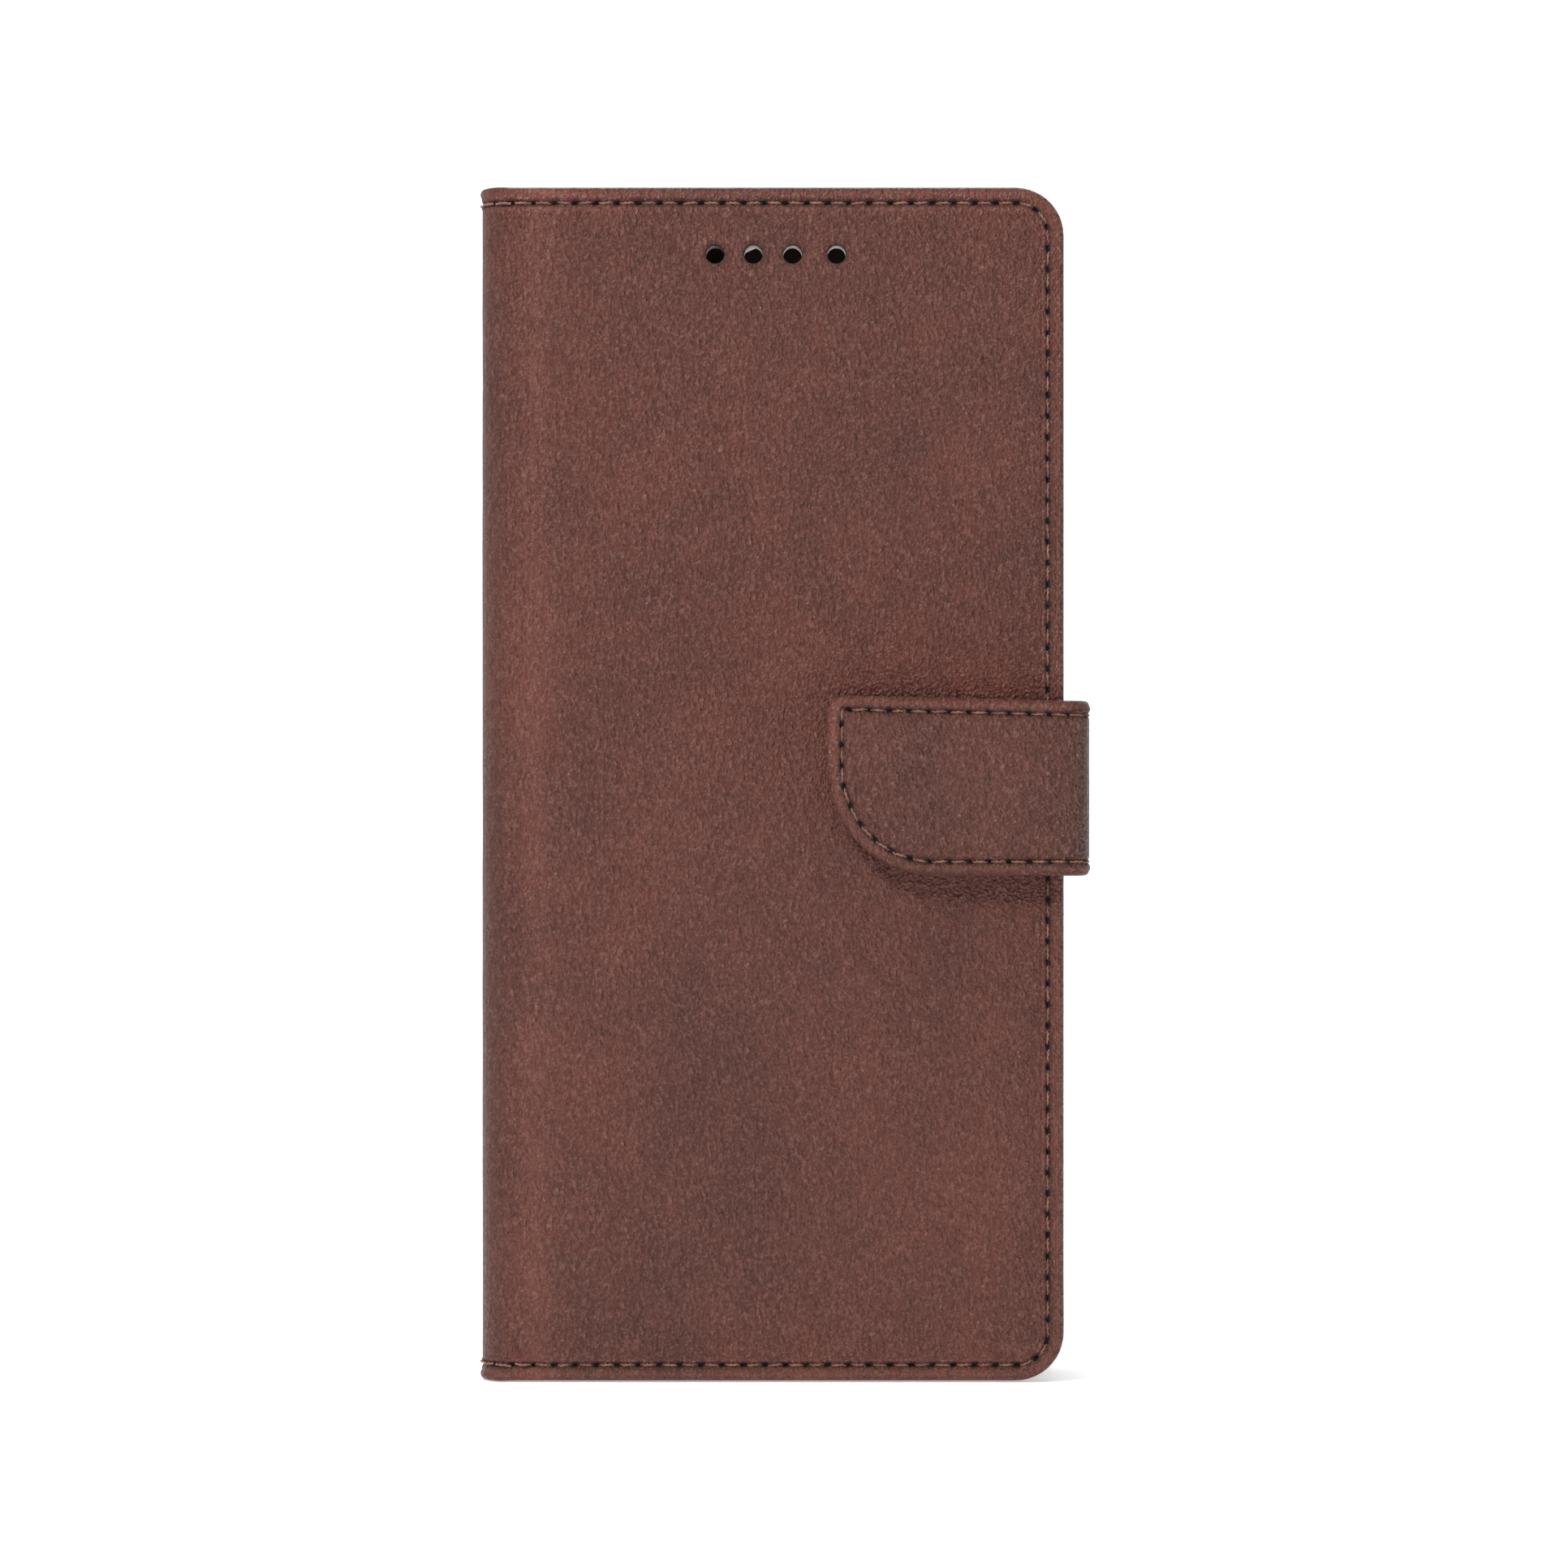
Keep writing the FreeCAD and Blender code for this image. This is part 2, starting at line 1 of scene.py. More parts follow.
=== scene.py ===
# %% [markdown]
# # A phone wallet case
# The case is two stiffened leather covers joined by a spine, with a soft moulded shell inside
# that grips the phone, a card panel inside the front cover and a strap that closes round the
# edge. The engineering model gives every place and size. This lesson makes the surfaces: hide
# with its grain, turned edges, stitches, pressed seams, bound card slots and moulded plastic.

# %% Load the engineering model
import json
import math

import bmesh
import bpy
import numpy as np
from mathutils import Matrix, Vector
from mathutils import noise
from mathutils.geometry import delaunay_2d_cdt

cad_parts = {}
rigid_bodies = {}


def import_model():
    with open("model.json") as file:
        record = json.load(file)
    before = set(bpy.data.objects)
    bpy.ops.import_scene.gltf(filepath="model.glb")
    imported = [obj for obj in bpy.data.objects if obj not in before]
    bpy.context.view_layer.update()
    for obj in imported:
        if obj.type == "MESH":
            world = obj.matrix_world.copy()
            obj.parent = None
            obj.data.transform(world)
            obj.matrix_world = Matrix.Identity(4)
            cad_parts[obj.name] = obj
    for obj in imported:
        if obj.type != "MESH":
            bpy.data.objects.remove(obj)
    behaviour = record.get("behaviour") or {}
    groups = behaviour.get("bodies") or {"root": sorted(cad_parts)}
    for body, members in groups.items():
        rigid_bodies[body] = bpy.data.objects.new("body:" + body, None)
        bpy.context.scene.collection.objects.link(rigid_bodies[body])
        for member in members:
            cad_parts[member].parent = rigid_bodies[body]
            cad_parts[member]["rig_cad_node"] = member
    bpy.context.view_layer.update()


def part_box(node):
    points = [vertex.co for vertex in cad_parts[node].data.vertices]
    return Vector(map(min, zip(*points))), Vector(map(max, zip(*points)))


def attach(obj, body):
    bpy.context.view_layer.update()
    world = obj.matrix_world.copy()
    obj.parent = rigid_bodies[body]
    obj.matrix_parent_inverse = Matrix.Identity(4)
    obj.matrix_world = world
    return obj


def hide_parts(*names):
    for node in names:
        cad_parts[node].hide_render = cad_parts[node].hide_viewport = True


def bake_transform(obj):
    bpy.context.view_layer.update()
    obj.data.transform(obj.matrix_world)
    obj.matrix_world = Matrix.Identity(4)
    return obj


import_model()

# %% [markdown]
# ## Sizes
# Lengths are in millimetres until a point is placed. What the engineering model already says is
# read from the boxes of its nodes. Only surface detail, such as the depth of a stitch groove,
# is a new number here.

# %% Sizes read from the model
MM = 0.001


def node_box(name):
    low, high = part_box(name)
    return np.array(low) / MM, np.array(high) / MM


back_low, back_high = node_box("back_leather")
spine_low, spine_high = node_box("spine_leather")
card_low, card_high = node_box("card_panel")
HEIGHT = back_high[2]
SPINE_X = back_low[0]
FREE_EDGE = back_high[0]
BACK_Y = back_high[1]
FRONT_Y = node_box("front_leather")[0][1]
BEND = BACK_Y - spine_high[1]
BEND_X = SPINE_X + BEND
QUARTER = BEND * math.pi / 2
HALF_SPINE = (spine_high[1] - spine_low[1]) / 2
BACK_THICK = BACK_Y - node_box("shell_adhesive")[1][1]
FRONT_THICK = card_low[1] - FRONT_Y
SPINE_THICK = node_box("spine_lining")[1][0] - SPINE_X
BEND_THICK = 1.4
CORNER = 6.8
print("case", HEIGHT, "by", FREE_EDGE - SPINE_X, "by", BACK_Y - FRONT_Y)

# %% Sizes of the sewn and pressed detail
STITCH_INSET = 2.3
FRONT_PITCH = 2.95
BACK_PITCH = 3.35
PIT_LENGTH = 1.15
PIT_WIDTH = 0.6
PIT_DEPTH = 0.5
GROOVE_DEPTH = 0.26
GROOVE_WIDTH = 0.42
BEAD_HEIGHT = 0.13

# %% [markdown]
# ## From a flat pattern to the closed case
# A saddler cuts a cover flat and then wraps it. The meshes are made the same way. Each point has
# a pattern place (u, z) and a depth below the outer face, and one function lays the pattern on
# the closed case. u is 0 where a cover starts to bend, grows towards the free edge, and goes
# negative round the bend and along the spine. A box bent with a modifier would need the same
# sum, and this way every groove stays at right angles to the leather.

# %% Place a cover's pattern


def cover_place(face_y, outward):
    """outward is +1 for the back cover, whose outer face looks along +Y, and -1 for the front."""

    def place(u, z, depth):
        turn = np.clip(-u / BEND, 0, math.pi / 2)
        along_spine = np.maximum(-u - QUARTER, 0)
        reach = BEND - depth
        x = BEND_X + np.maximum(u, 0) - reach * np.sin(turn)
        y = face_y - outward * (BEND - reach * np.cos(turn) + along_spine)
        return np.stack([x, y, z + 0 * u], -1) * MM

    return place


def ease(value, low, high):
    """0 below low, 1 above high, and smooth between."""
    t = np.clip((value - low) / (high - low), 0, 1)
    return t * t * (3 - 2 * t)


def cover_thickness(flat, recess=None):
    """Thickness by pattern place: stiff cover, thin bend, stiffened spine.

    recess is (low corner, high corner, depth) of a shallow pocket in the inner face.
    """

    def thickness(u, z):
        spine = BEND_THICK + (SPINE_THICK - BEND_THICK) * ease(-u, QUARTER + 1.0, QUARTER + 3.2)
        full = spine + (flat - spine) * ease(u, -1.2, 0.0)
        if recess:
            (low_u, low_z), (high_u, high_z), depth = recess
            inside = ease(u, low_u - 1.5, low_u - 0.3) * ease(-u, -high_u - 1.5, -high_u - 0.3)
            inside = inside * ease(z, low_z - 1.5, low_z - 0.3) * ease(-z, -high_z - 1.5, -high_z - 0.3)
            full = full - depth * inside
        return full

    return thickness


# %% [markdown]
# ## A sewn slab
# Covers, card panel and strap are all the same thing: a flat pattern with rounded corners, a
# stitched border, an edge that rolls over, and some openings. So one builder makes them all. It
# lays rings of points parallel to the border, close together where the stitch groove needs
# them, fills the middle with a triangulated field, and closes the back. A subdivided plane with
# a displacement would waste its points on the plain middle and blur the groove.

# %% Patterns


class Pattern:
    """A rectangle from u0 to u1 and from z0 to z1, with points about one pitch apart.

    Its corners are rounded at the u1 end, and at the u0 end too if it is closed. An open pattern
    is only cut at u0, because the leather goes on there. radii go clockwise from the top at u1.
    """

    def __init__(self, u0, u1, z0, z1, radii, closed=False, pitch=1.0):
        self.u0, self.u1, self.z0, self.z1 = u0, u1, z0, z1
        self.radii = radii
        self.closed = closed
        self.pitch = pitch

    def corners(self):
        """(u side, z side, radius, angle where its arc starts), clockwise from the top at u1."""
        sides = [(1, 1, 90), (1, -1, 0)]
        if self.closed:
            sides += [(-1, -1, -90), (-1, 1, 180)]
        return [(a, b, r, angle) for (a, b, angle), r in zip(sides, self.radii)]

    def _arc_end(self, corner, inset, share):
        """A point of a corner's arc, from 0 at its start to 1 at its end."""
        side_u, side_z, radius, angle = corner
        edge = max(radius, inset)
        u = self.u1 - edge if side_u > 0 else self.u0 + edge
        z = self.z1 - edge if side_z > 0 else self.z0 + edge
        turn = math.radians(angle - 90 * share)
        return np.array([u + (edge - inset) * math.cos(turn), z + (edge - inset) * math.sin(turn)])

    def ring(self, inset, split=1):
        """Points parallel to the border. split cuts each step into that many smaller ones."""
        corners = self.corners()
        points = []
        start = np.array([self.u0, self.z1 - inset])
        end = np.array([self.u0, self.z0 + inset])
        whole_start = np.array([self.u0, self.z1])
        whole_end = np.array([self.u0, self.z0])
        if self.closed:
            start = self._arc_end(corners[-1], inset, 1)
            whole_start = self._arc_end(corners[-1], 0, 1)
        for corner in corners:
            first = self._arc_end(corner, inset, 0)
            whole = self._arc_end(corner, 0, 0)
            count = max(1, round(np.linalg.norm(whole - whole_start) / self.pitch)) * split
            points += [start + (first - start) * i / count for i in range(count)]
            count = max(2, round(corner[2] * math.pi / 2 / self.pitch)) * split
            points += [self._arc_end(corner, inset, i / count) for i in range(count)]
            start = self._arc_end(corner, inset, 1)
            whole_start = self._arc_end(corner, 0, 1)
        if not self.closed:
            count = max(1, round(np.linalg.norm(whole_end - whole_start) / self.pitch)) * split
            points += [start + (end - start) * i / count for i in range(count + 1)]
        return np.array(points)

    def inset(self, u, z):
        """How far a point lies inside the border."""
        middle_z = (self.z0 + self.z1) / 2
        half_z = (self.z1 - self.z0) / 2
        radius = np.where(z > middle_z, self.radii[0], self.radii[1])
        right = u - self.u1
        if self.closed:
            left = self.u0 - u
            radius = np.where(left > right, np.where(z > middle_z, self.radii[3], self.radii[2]), radius)
            right = np.maximum(left, right)
        across = right + radius
        up = np.abs(z - middle_z) - half_z + radius
        outside = np.hypot(np.maximum(across, 0), np.maximum(up, 0))
        return radius - outside - np.minimum(np.maximum(across, up), 0)


def circle_loop(u, z, radius, count):
    angles = np.linspace(0, 2 * math.pi, count, endpoint=False)

    def loop(offset):
        reach = radius + offset
        return np.stack([u + reach * np.cos(angles), z + reach * np.sin(angles)], -1)

    return loop


def rounded_loop(u_range, z_range, radius, pitch):
    """The border of a rounded opening, offset into the leather."""
    hole = Pattern(*u_range, *z_range, [radius] * 4, closed=True, pitch=pitch)
    return lambda offset: hole.ring(-offset)


def rounded_distance(u, z, u_range, z_range, radius):
    """Distance outside a rounded rectangle, negative inside it."""
    hole = Pattern(*u_range, *z_range, [radius] * 4, closed=True)
    return -hole.inset(u, z)


# %% [markdown]
# ### Where the needle went in
# A sewing machine leaves a slanted oval hole at each end of a stitch, never twice quite the same, and the
# thread pulls the leather down between them. The holes are worked out first, because both the leather's
# relief and the stitches read them. They are dents in the mesh itself, so they hold real shadow, and their
# colour is also painted near black as painted shade. A bump map could only shade them.

# %% Needle holes along a path


def walk(path, pitch, offset=0.5):
    """Evenly spaced places and directions along a line of points."""
    steps = np.linalg.norm(np.diff(path, axis=0), axis=1)
    travel = np.concatenate([[0], np.cumsum(steps)])
    count = max(1, round(travel[-1] / pitch))
    wanted = (np.arange(count) + offset) * travel[-1] / count
    places = np.stack([np.interp(wanted, travel, path[:, i]) for i in (0, 1)], -1)
    ahead = np.stack([np.interp(wanted + 0.2, travel, path[:, i]) for i in (0, 1)], -1)
    behind = np.stack([np.interp(wanted - 0.2, travel, path[:, i]) for i in (0, 1)], -1)
    along = ahead - behind
    return places, along / np.linalg.norm(along, axis=1)[:, None]


def pit_relief(u, z, holes, reach=2.0):
    """0 on plain leather, 1 in the middle of a needle hole."""
    value = np.zeros(u.shape)
    for i, ((hole_u, hole_z), (along_u, along_z)) in enumerate(zip(*holes)):
        near = (np.abs(u - hole_u) < reach) & (np.abs(z - hole_z) < reach)
        if not near.any():
            continue
        du, dz = u[near] - hole_u, z[near] - hole_z
        slant = 0.20 + 0.13 * math.sin(7.3 * i)
        size = 1 + 0.16 * math.sin(3.1 * i + 1)
        turned_u = along_u * math.cos(slant) - along_z * math.sin(slant)
        turned_z = along_z * math.cos(slant) + along_u * math.sin(slant)
        along = (du * turned_u + dz * turned_z) / (PIT_LENGTH * size / 2)
        across = (dz * turned_u - du * turned_z) / (PIT_WIDTH / 2)
        value[near] = np.maximum(value[near], np.exp(-(along**4) - across**2))
    return value


def bell(value, width):
    """1 where value is 0, falling smoothly to about a third at width."""
    return np.exp(-((value / width) ** 2))


def wander(u, z, size, seed):
    """Smooth unevenness, about -1 to 1, with hollows of about this size."""
    flat = np.stack([np.ravel(u) / size, np.ravel(z) / size], -1)
    values = [noise.noise(Vector((a, b, seed))) for a, b in flat]
    return np.array(values).reshape(np.shape(u))


# %% [markdown]
# ### Rings, plain points and triangles
# The border and each opening are rings of points, joined by bands of quads from the front over
# the edge to the back. A grid alone could not follow a round corner, so the middle is a plain
# grid that a triangulation ties to the innermost rings. The lining side uses the same triangles
# turned round, so the slab is closed. The edge and the face are one mesh, with no seam between.

# %% Points and faces of a slab


class Slab:
    """A slab in the making: pattern places, their share of the thickness, and numbered faces."""

    def __init__(self):
        self.places, self.shares, self.faces = [], [], []

    def add(self, places, share):
        """Add points and return their numbers. share is 0 on the outer face and 1 on the back."""
        first = sum(len(group) for group in self.places)
        self.places.append(places)
        self.shares.append(np.full(len(places), share))
        return list(range(first, first + len(places)))

    def face(self, numbers, lining=False):
        self.faces.append((numbers, lining))

    def band(self, a, b, closed):
        """Quads between two rings, or wide faces where one ring has more points."""
        many, few = (a, b) if len(a) >= len(b) else (b, a)
        ratio = round(len(many) / len(few)) if len(few) > 1 else 1
        count = len(few) if closed else len(few) - 1
        for i in range(count):
            j = (i + 1) % len(few)
            run = [many[(i * ratio + k) % len(many)] for k in range(ratio + 1)]
            self.face([few[i]] + run + [few[j]])

    def rings(self, loops, shares, closed):
        sides = [self.add(loop, share) for loop, share in zip(loops, shares)]
        for a, b in zip(sides, sides[1:]):
            self.band(a, b, closed)
        return sides

    def fill(self, chains, fronts, backs, is_leather):
        """Triangles on both faces. chains are (front, back) rings, then come the plain points."""
        points = np.concatenate(self.places)
        front_ids, back_ids, edges = [], [], []
        for chain_front, chain_back in chains:
            first, count = len(front_ids), len(chain_front)
            front_ids += chain_front
            back_ids += chain_back
            edges += [(first + i, first + (i + 1) % count) for i in range(count)]
        front_ids += fronts
        back_ids += backs
        flat = [Vector(points[i]) for i in front_ids]
        _, _, triangles, origin, _, _ = delaunay_2d_cdt(flat, edges, [], 0, 1e-4, True)
        for triangle in triangles:
            members = [origin[v][0] for v in triangle if origin[v]]
            if len(members) < 3:
                continue
            if is_leather(np.mean([points[front_ids[m]] for m in members], axis=0)):
                self.face([front_ids[m] for m in members])
                self.face([back_ids[m] for m in reversed(members)], lining=True)


# %% Plain points between the rings


def field_points(pattern, inner, openings, fine):
    """A plain grid inside the border, with the closer points of fine where detail needs them."""
    pitch = pattern.pitch
    grid_u, grid_z = np.meshgrid(
        np.arange(pattern.u0 + pitch, pattern.u1, pitch), np.arange(pattern.z0 + pitch, pattern.z1, pitch)
    )
    field = np.stack([grid_u.ravel(), grid_z.ravel()], -1)
    for _, near in fine:
        field = field[~near(field[:, 0], field[:, 1])]
    field = np.concatenate([field] + [points for points, _ in fine])
    room = 0.45 * pitch
    keep = pattern.inset(field[:, 0], field[:, 1]) > inner + 0.3 * room
    for _, steps, outside in openings:
        keep &= outside(field[:, 0], field[:, 1]) > steps[0][0] + 0.25 * room
    if not pattern.closed:
        keep &= field[:, 0] > pattern.u0 + room
    return field[keep]


def cut_points(pattern, inner):
    """Points along the straight cut of an open pattern."""
    run = pattern.z1 - pattern.z0 - 2 * inner
    count = max(2, round(run / pattern.pitch))
    up = pattern.z0 + inner + run * np.arange(1, count) / count
    return np.stack([np.full(len(up), pattern.u0), up], -1)


# %% The slab builder


def build_slab(name, place, pattern, thickness, border, relief, openings=(), fine=()):
    """Build a sewn slab and return it as an object.

    border lists (inset, share of the thickness, split) from the field over the edge to the back.
    relief gives the height and the colour marks by pattern place. openings are (loop, steps of
    (offset, share), distance outside). fine lists (field points where detail needs them, test for
    the plain points that they stand in for).
    """
    slab = Slab()
    inner = border[0][0]
    loops = [pattern.ring(inset, split) for inset, _, split in border]
    rings = slab.rings(loops, [share for _, share, _ in border], pattern.closed)
    hole_sides = [
        slab.rings([loop(offset) for offset, _ in steps], [share for _, share in steps], True)
        for loop, steps, _ in openings
    ]
    cut_front, cut_back = [], []
    if not pattern.closed:
        line = cut_points(pattern, inner)
        cut_front, cut_back = slab.add(line, 0), slab.add(line, 1)
    field = field_points(pattern, inner, openings, fine)
    field_front, field_back = slab.add(field, 0), slab.add(field, 1)

    def is_leather(centre):
        u, z = centre[:1], centre[1:]
        in_hole = any(outside(u, z)[0] < steps[0][0] - 1e-3 for _, steps, outside in openings)
        return not in_hole and pattern.inset(u, z)[0] >= inner - 1e-3

    chains = [(rings[0] + cut_front, rings[-1] + cut_back)] + [(sides[0], sides[-1]) for sides in hole_sides]
    slab.fill(chains, field_front, field_back, is_leather)
    if not pattern.closed:
        top = [ring[0] for ring in rings]
        bottom = [ring[-1] for ring in rings]
        slab.face(top + cut_back[::-1] + bottom[::-1] + cut_front)

    u, z = np.concatenate(slab.places).T
    share = np.concatenate(slab.shares)
    height, marks = relief(u, z)
    depth = share * thickness(u, z) - height * (share == 0)
    faces, lining = [], []
    for face, is_lining in slab.faces:
        unique = [v for k, v in enumerate(face) if v != face[k - 1]]
        if len(unique) > 2:
            faces.append(unique)
            lining.append(is_lining)
    mesh = bpy.data.meshes.new(name)
    mesh.from_pydata(place(u, z, depth).tolist(), [], faces)
    mesh.polygons.foreach_set("material_index", np.array(lining, dtype=np.int32))
    for mark, values in marks.items():
        values = values * (share < 0.5)
        mesh.attributes.new(mark, "FLOAT", "POINT").data.foreach_set("value", values.astype(np.float32))
    return finish_mesh(name, mesh)


# %% [markdown]
# Every mesh gets the same last steps. Points that fell on each other at the corners are merged,
# the faces are turned outwards, and edges sharper than 40 degrees stay crisp while the rest is
# shaded smooth.

# %% Finish a mesh


def finish_mesh(name, mesh, sharp=40, merge=1e-6):
    work = bmesh.new()
    work.from_mesh(mesh)
    bmesh.ops.remove_doubles(work, verts=work.verts, dist=merge)
    bmesh.ops.dissolve_degenerate(work, edges=work.edges, dist=merge)
    bmesh.ops.recalc_face_normals(work, faces=work.faces)
    open_edges = sum(1 for edge in work.edges if len(edge.link_faces) != 2)
    work.to_mesh(mesh)
    work.free()
    mesh.polygons.foreach_set("use_smooth", [True] * len(mesh.polygons))
    mesh.set_sharp_from_angle(angle=math.radians(sharp))
    piece = bpy.data.objects.new(name, mesh)
    bpy.context.scene.collection.objects.link(piece)
    print(name, "faces", len(mesh.polygons), "open or shared edges", open_edges)
    return piece


# %% [markdown]
# ## Shader sums
# A material is mostly small sums on numbers. Written as nodes they are hard to read, so a socket
# is wrapped in a class that knows + - * and adds the Math node itself. Any other node comes from
# one method. Colours are mixed with a Mix node, because a Math node turns a colour grey.

# %% Socket sums


class Value:
    """A socket that adds, subtracts and multiplies like a number."""

    def __init__(self, kit, socket):
        self.kit = kit
        self.socket = socket

    def _sum(self, operation, a, b=None):
        values = (a,) if b is None else (a, b)
        return self.kit.node("ShaderNodeMath", {"operation": operation}, *values)

    def __add__(self, other):
        return self._sum("ADD", self, other)

    def __mul__(self, other):
        return self._sum("MULTIPLY", self, other)

    def __sub__(self, other):
        return self._sum("SUBTRACT", self, other)

    def __rsub__(self, other):
        return self._sum("SUBTRACT", other, self)

    def sine(self):
        return self._sum("SINE", self)

    __radd__ = __add__
    __rmul__ = __mul__


class Finish:
    """A material under construction."""

    def __init__(self, name):
        self.material = bpy.data.materials.new(name)
        self.material.use_nodes = True
        self.tree = self.material.node_tree
        self.shader = self.tree.nodes["Principled BSDF"]

    def feed(self, socket, value):
        """Link a value to a socket, or set a constant. A colour of three parts gets its alpha."""
        if isinstance(value, Value):
            self.tree.links.new(value.socket, socket)
        else:
            socket.default_value = (*value, 1) if socket.type == "RGBA" else value

    def node(self, kind, settings=None, *values, out=0, **named):
        node = self.tree.nodes.new(kind)
        for key, setting in (settings or {}).items():
            setattr(node, key, setting)
        for key, value in list(enumerate(values)) + list(named.items()):
            self.feed(node.inputs[key], value)
        return Value(self, node.outputs[out])

    def place(self):
        return self.node("ShaderNodeTexCoord", out="Object")

    def mark(self, name):
        return self.node("ShaderNodeAttribute", {"attribute_name": name}, out="Fac")

    def noise(self, size, detail=2.0, roughness=0.5, distortion=0.0, where=None):
        """Noise whose lumps are about this many millimetres across."""
        return self.node(
            "ShaderNodeTexNoise",
            None,
            where or self.place(),
            Scale=1 / (size * MM),
            Detail=detail,
            Roughness=roughness,
            Distortion=distortion,
        )

    def cells(self, size, smooth):
        """Distance to the middle of rounded cells of about this size."""
        scale = 1 / (size * MM)
        settings = {"feature": "SMOOTH_F1"}
        return self.node(
            "ShaderNodeTexVoronoi", settings, self.place(), Scale=scale, Smoothness=smooth, out="Distance"
        )

    def step(self, value, low, high):
        """0 below low, 1 above high, straight between."""
        settings = {"clamp": True}
        return self.node("ShaderNodeMapRange", settings, value, low, high, 0.0, 1.0)

    def mix(self, share, a, b):
        node = self.tree.nodes.new("ShaderNodeMix")
        node.data_type = "RGBA"
        for place, value in ((0, share), (6, a), (7, b)):
            self.feed(node.inputs[place], value)
        return Value(self, node.outputs[2])

    def bump(self, height, depth_mm, strength=1.0):
        return self.node("ShaderNodeBump", None, Strength=strength, Distance=depth_mm * MM, Height=height)

    def set(self, **inputs):
        for key, value in inputs.items():
            self.feed(self.shader.inputs[key.replace("_", " ")], value)


# %% [markdown]
# ## Leather
# This is a waxed brown hide. Three things make it look real: cloudy patches 10 to 30 mm wide where the wax
# moved, a fine grain of about half a millimetre that catches small glints, and marks by place. The grain's
# tips are also painted lighter, a painted highlight, and its valleys darker, a painted shade. Edges and beads
# are redder from wear and from a painted sheen, and a band beside the spine is painted lighter as a painted
# sheen. Grooves, creases and rims are darker from pressing and from painted shade, and needle holes and the
# walls of the sound holes are painted near black as painted shade. The patches and the grain are noises in
# the piece's own coordinates. The marks come from the slab builder, which left them on the mesh, because only
# the mesh knows where its grooves are.

# %% The leather finish


def leather(name, dark, light, worn_and_sheen_colour, grain=0.42, grain_depth=0.8, rough=0.38, shine=0.38):
    """grain is the size of a wrinkle and grain_depth how deep it looks, both in millimetres."""
    kit = Finish(name)
    # deep is the colour of painted shade in grain valleys and grooves, glint the colour of a painted
    # highlight on grain tips, and hole the near-black painted shade in needle holes and sound-hole walls.
    deep = tuple(0.3 * c for c in dark)
    glint = tuple(c + 0.08 for c in light)
    hole = (0.002, 0.0012, 0.001)
    lean, stretch = (0.0, 0.28, 0.0), (1.0, 1.0, 0.55)
    slant = kit.node("ShaderNodeMapping", None, kit.place(), Rotation=lean, Scale=stretch)
    patches = kit.step(kit.noise(21, 4, 0.6, 0.3, slant), 0.34, 0.68)
    clouds = kit.step(kit.noise(5.5, 3, 0.62), 0.3, 0.72)
    wrinkles = kit.noise(grain * 1.35, 3, 0.62, 0.9, slant)
    pebbles = 1 - kit.cells(grain, 0.55)
    pores = kit.noise(grain * 0.45, 2, 0.6)
    hills = pebbles * 0.5 + wrinkles * 1.1 + pores * 0.3
    tone = patches * 0.40 + clouds * 0.2
    tone = tone + kit.step(wrinkles, 0.34, 0.66) * 0.2
    tone = tone + kit.step(pores, 0.38, 0.62) * 0.16
    colour = kit.mix(kit.step(tone, 0.1, 0.95), dark, light)
    # Painted shade: the grain's valleys are painted darker.
    colour = kit.mix(kit.step(hills, 0.90, 0.66) * 0.46, colour, deep)
    # Painted highlight: the grain's highest tips are painted lighter.
    colour = kit.mix(kit.step(hills, 0.97, 1.16) * 0.34, colour, glint)
    # Lighter, redder edges and beads: partly wear, partly a painted sheen.
    worn_and_sheen = kit.step(kit.mark("raised") + (patches - 0.5) * 0.3, 0.25, 1.0)
    colour = kit.mix(worn_and_sheen * 0.35, colour, worn_and_sheen_colour)
    # Grooves, creases and rims are painted darker: partly from pressing, partly painted shade.
    colour = kit.mix(kit.mark("pressed") * 0.55, colour, deep)
    # Painted shade: needle holes and the walls of the sound holes are painted near black.
    colour = kit.mix(kit.step(kit.mark("pit"), 0.18, 0.5), colour, hole)
    dullness = rough - 0.14 * kit.step(hills, 0.75, 1.3)
    dullness = dullness + 0.3 * kit.mark("pressed") + 0.3 * kit.mark("pit")
    kit.set(
        Base_Color=colour,
        Roughness=dullness,
        Normal=kit.bump(hills * (1 - 0.6 * kit.mark("raised")), grain_depth),
        Specular_IOR_Level=shine,
    )
    return kit.material


cover_leather = leather(
    "cover_leather",
    dark=(0.058, 0.0120, 0.0074),
    light=(0.130, 0.0315, 0.0195),
    worn_and_sheen_colour=(0.14, 0.035, 0.020),
)
strap_leather = leather(
    "strap_leather",
    dark=(0.054, 0.0112, 0.0068),
    light=(0.116, 0.0285, 0.0175),
    worn_and_sheen_colour=(0.13, 0.033, 0.019),
    grain=0.46,
)
card_leather = leather(
    "card_leather",
    dark=(0.050, 0.0165, 0.0115),
    light=(0.105, 0.040, 0.029),
    worn_and_sheen_colour=(0.12, 0.046, 0.034),
    grain=0.40,
    grain_depth=0.6,
)
lining_leather = leather(
    "lining_leather",
    dark=(0.040, 0.014, 0.010),
    light=(0.080, 0.032, 0.024),
    worn_and_sheen_colour=(0.09, 0.036, 0.027),
    grain=0.40,
    grain_depth=0.5,
    rough=0.6,
)
print("leathers", [m.name for m in (cover_leather, strap_leather, card_leather, lining_leather)])

# %% [markdown]
# ## Thread
# The seams are sewn with a two-ply waxed thread. The back shows its orange tan, and on the front it is darker
# with wax. Fibres run with the ply; a fine noise gives the fluff and a little sheen lifts its rim.

# %% The thread finish


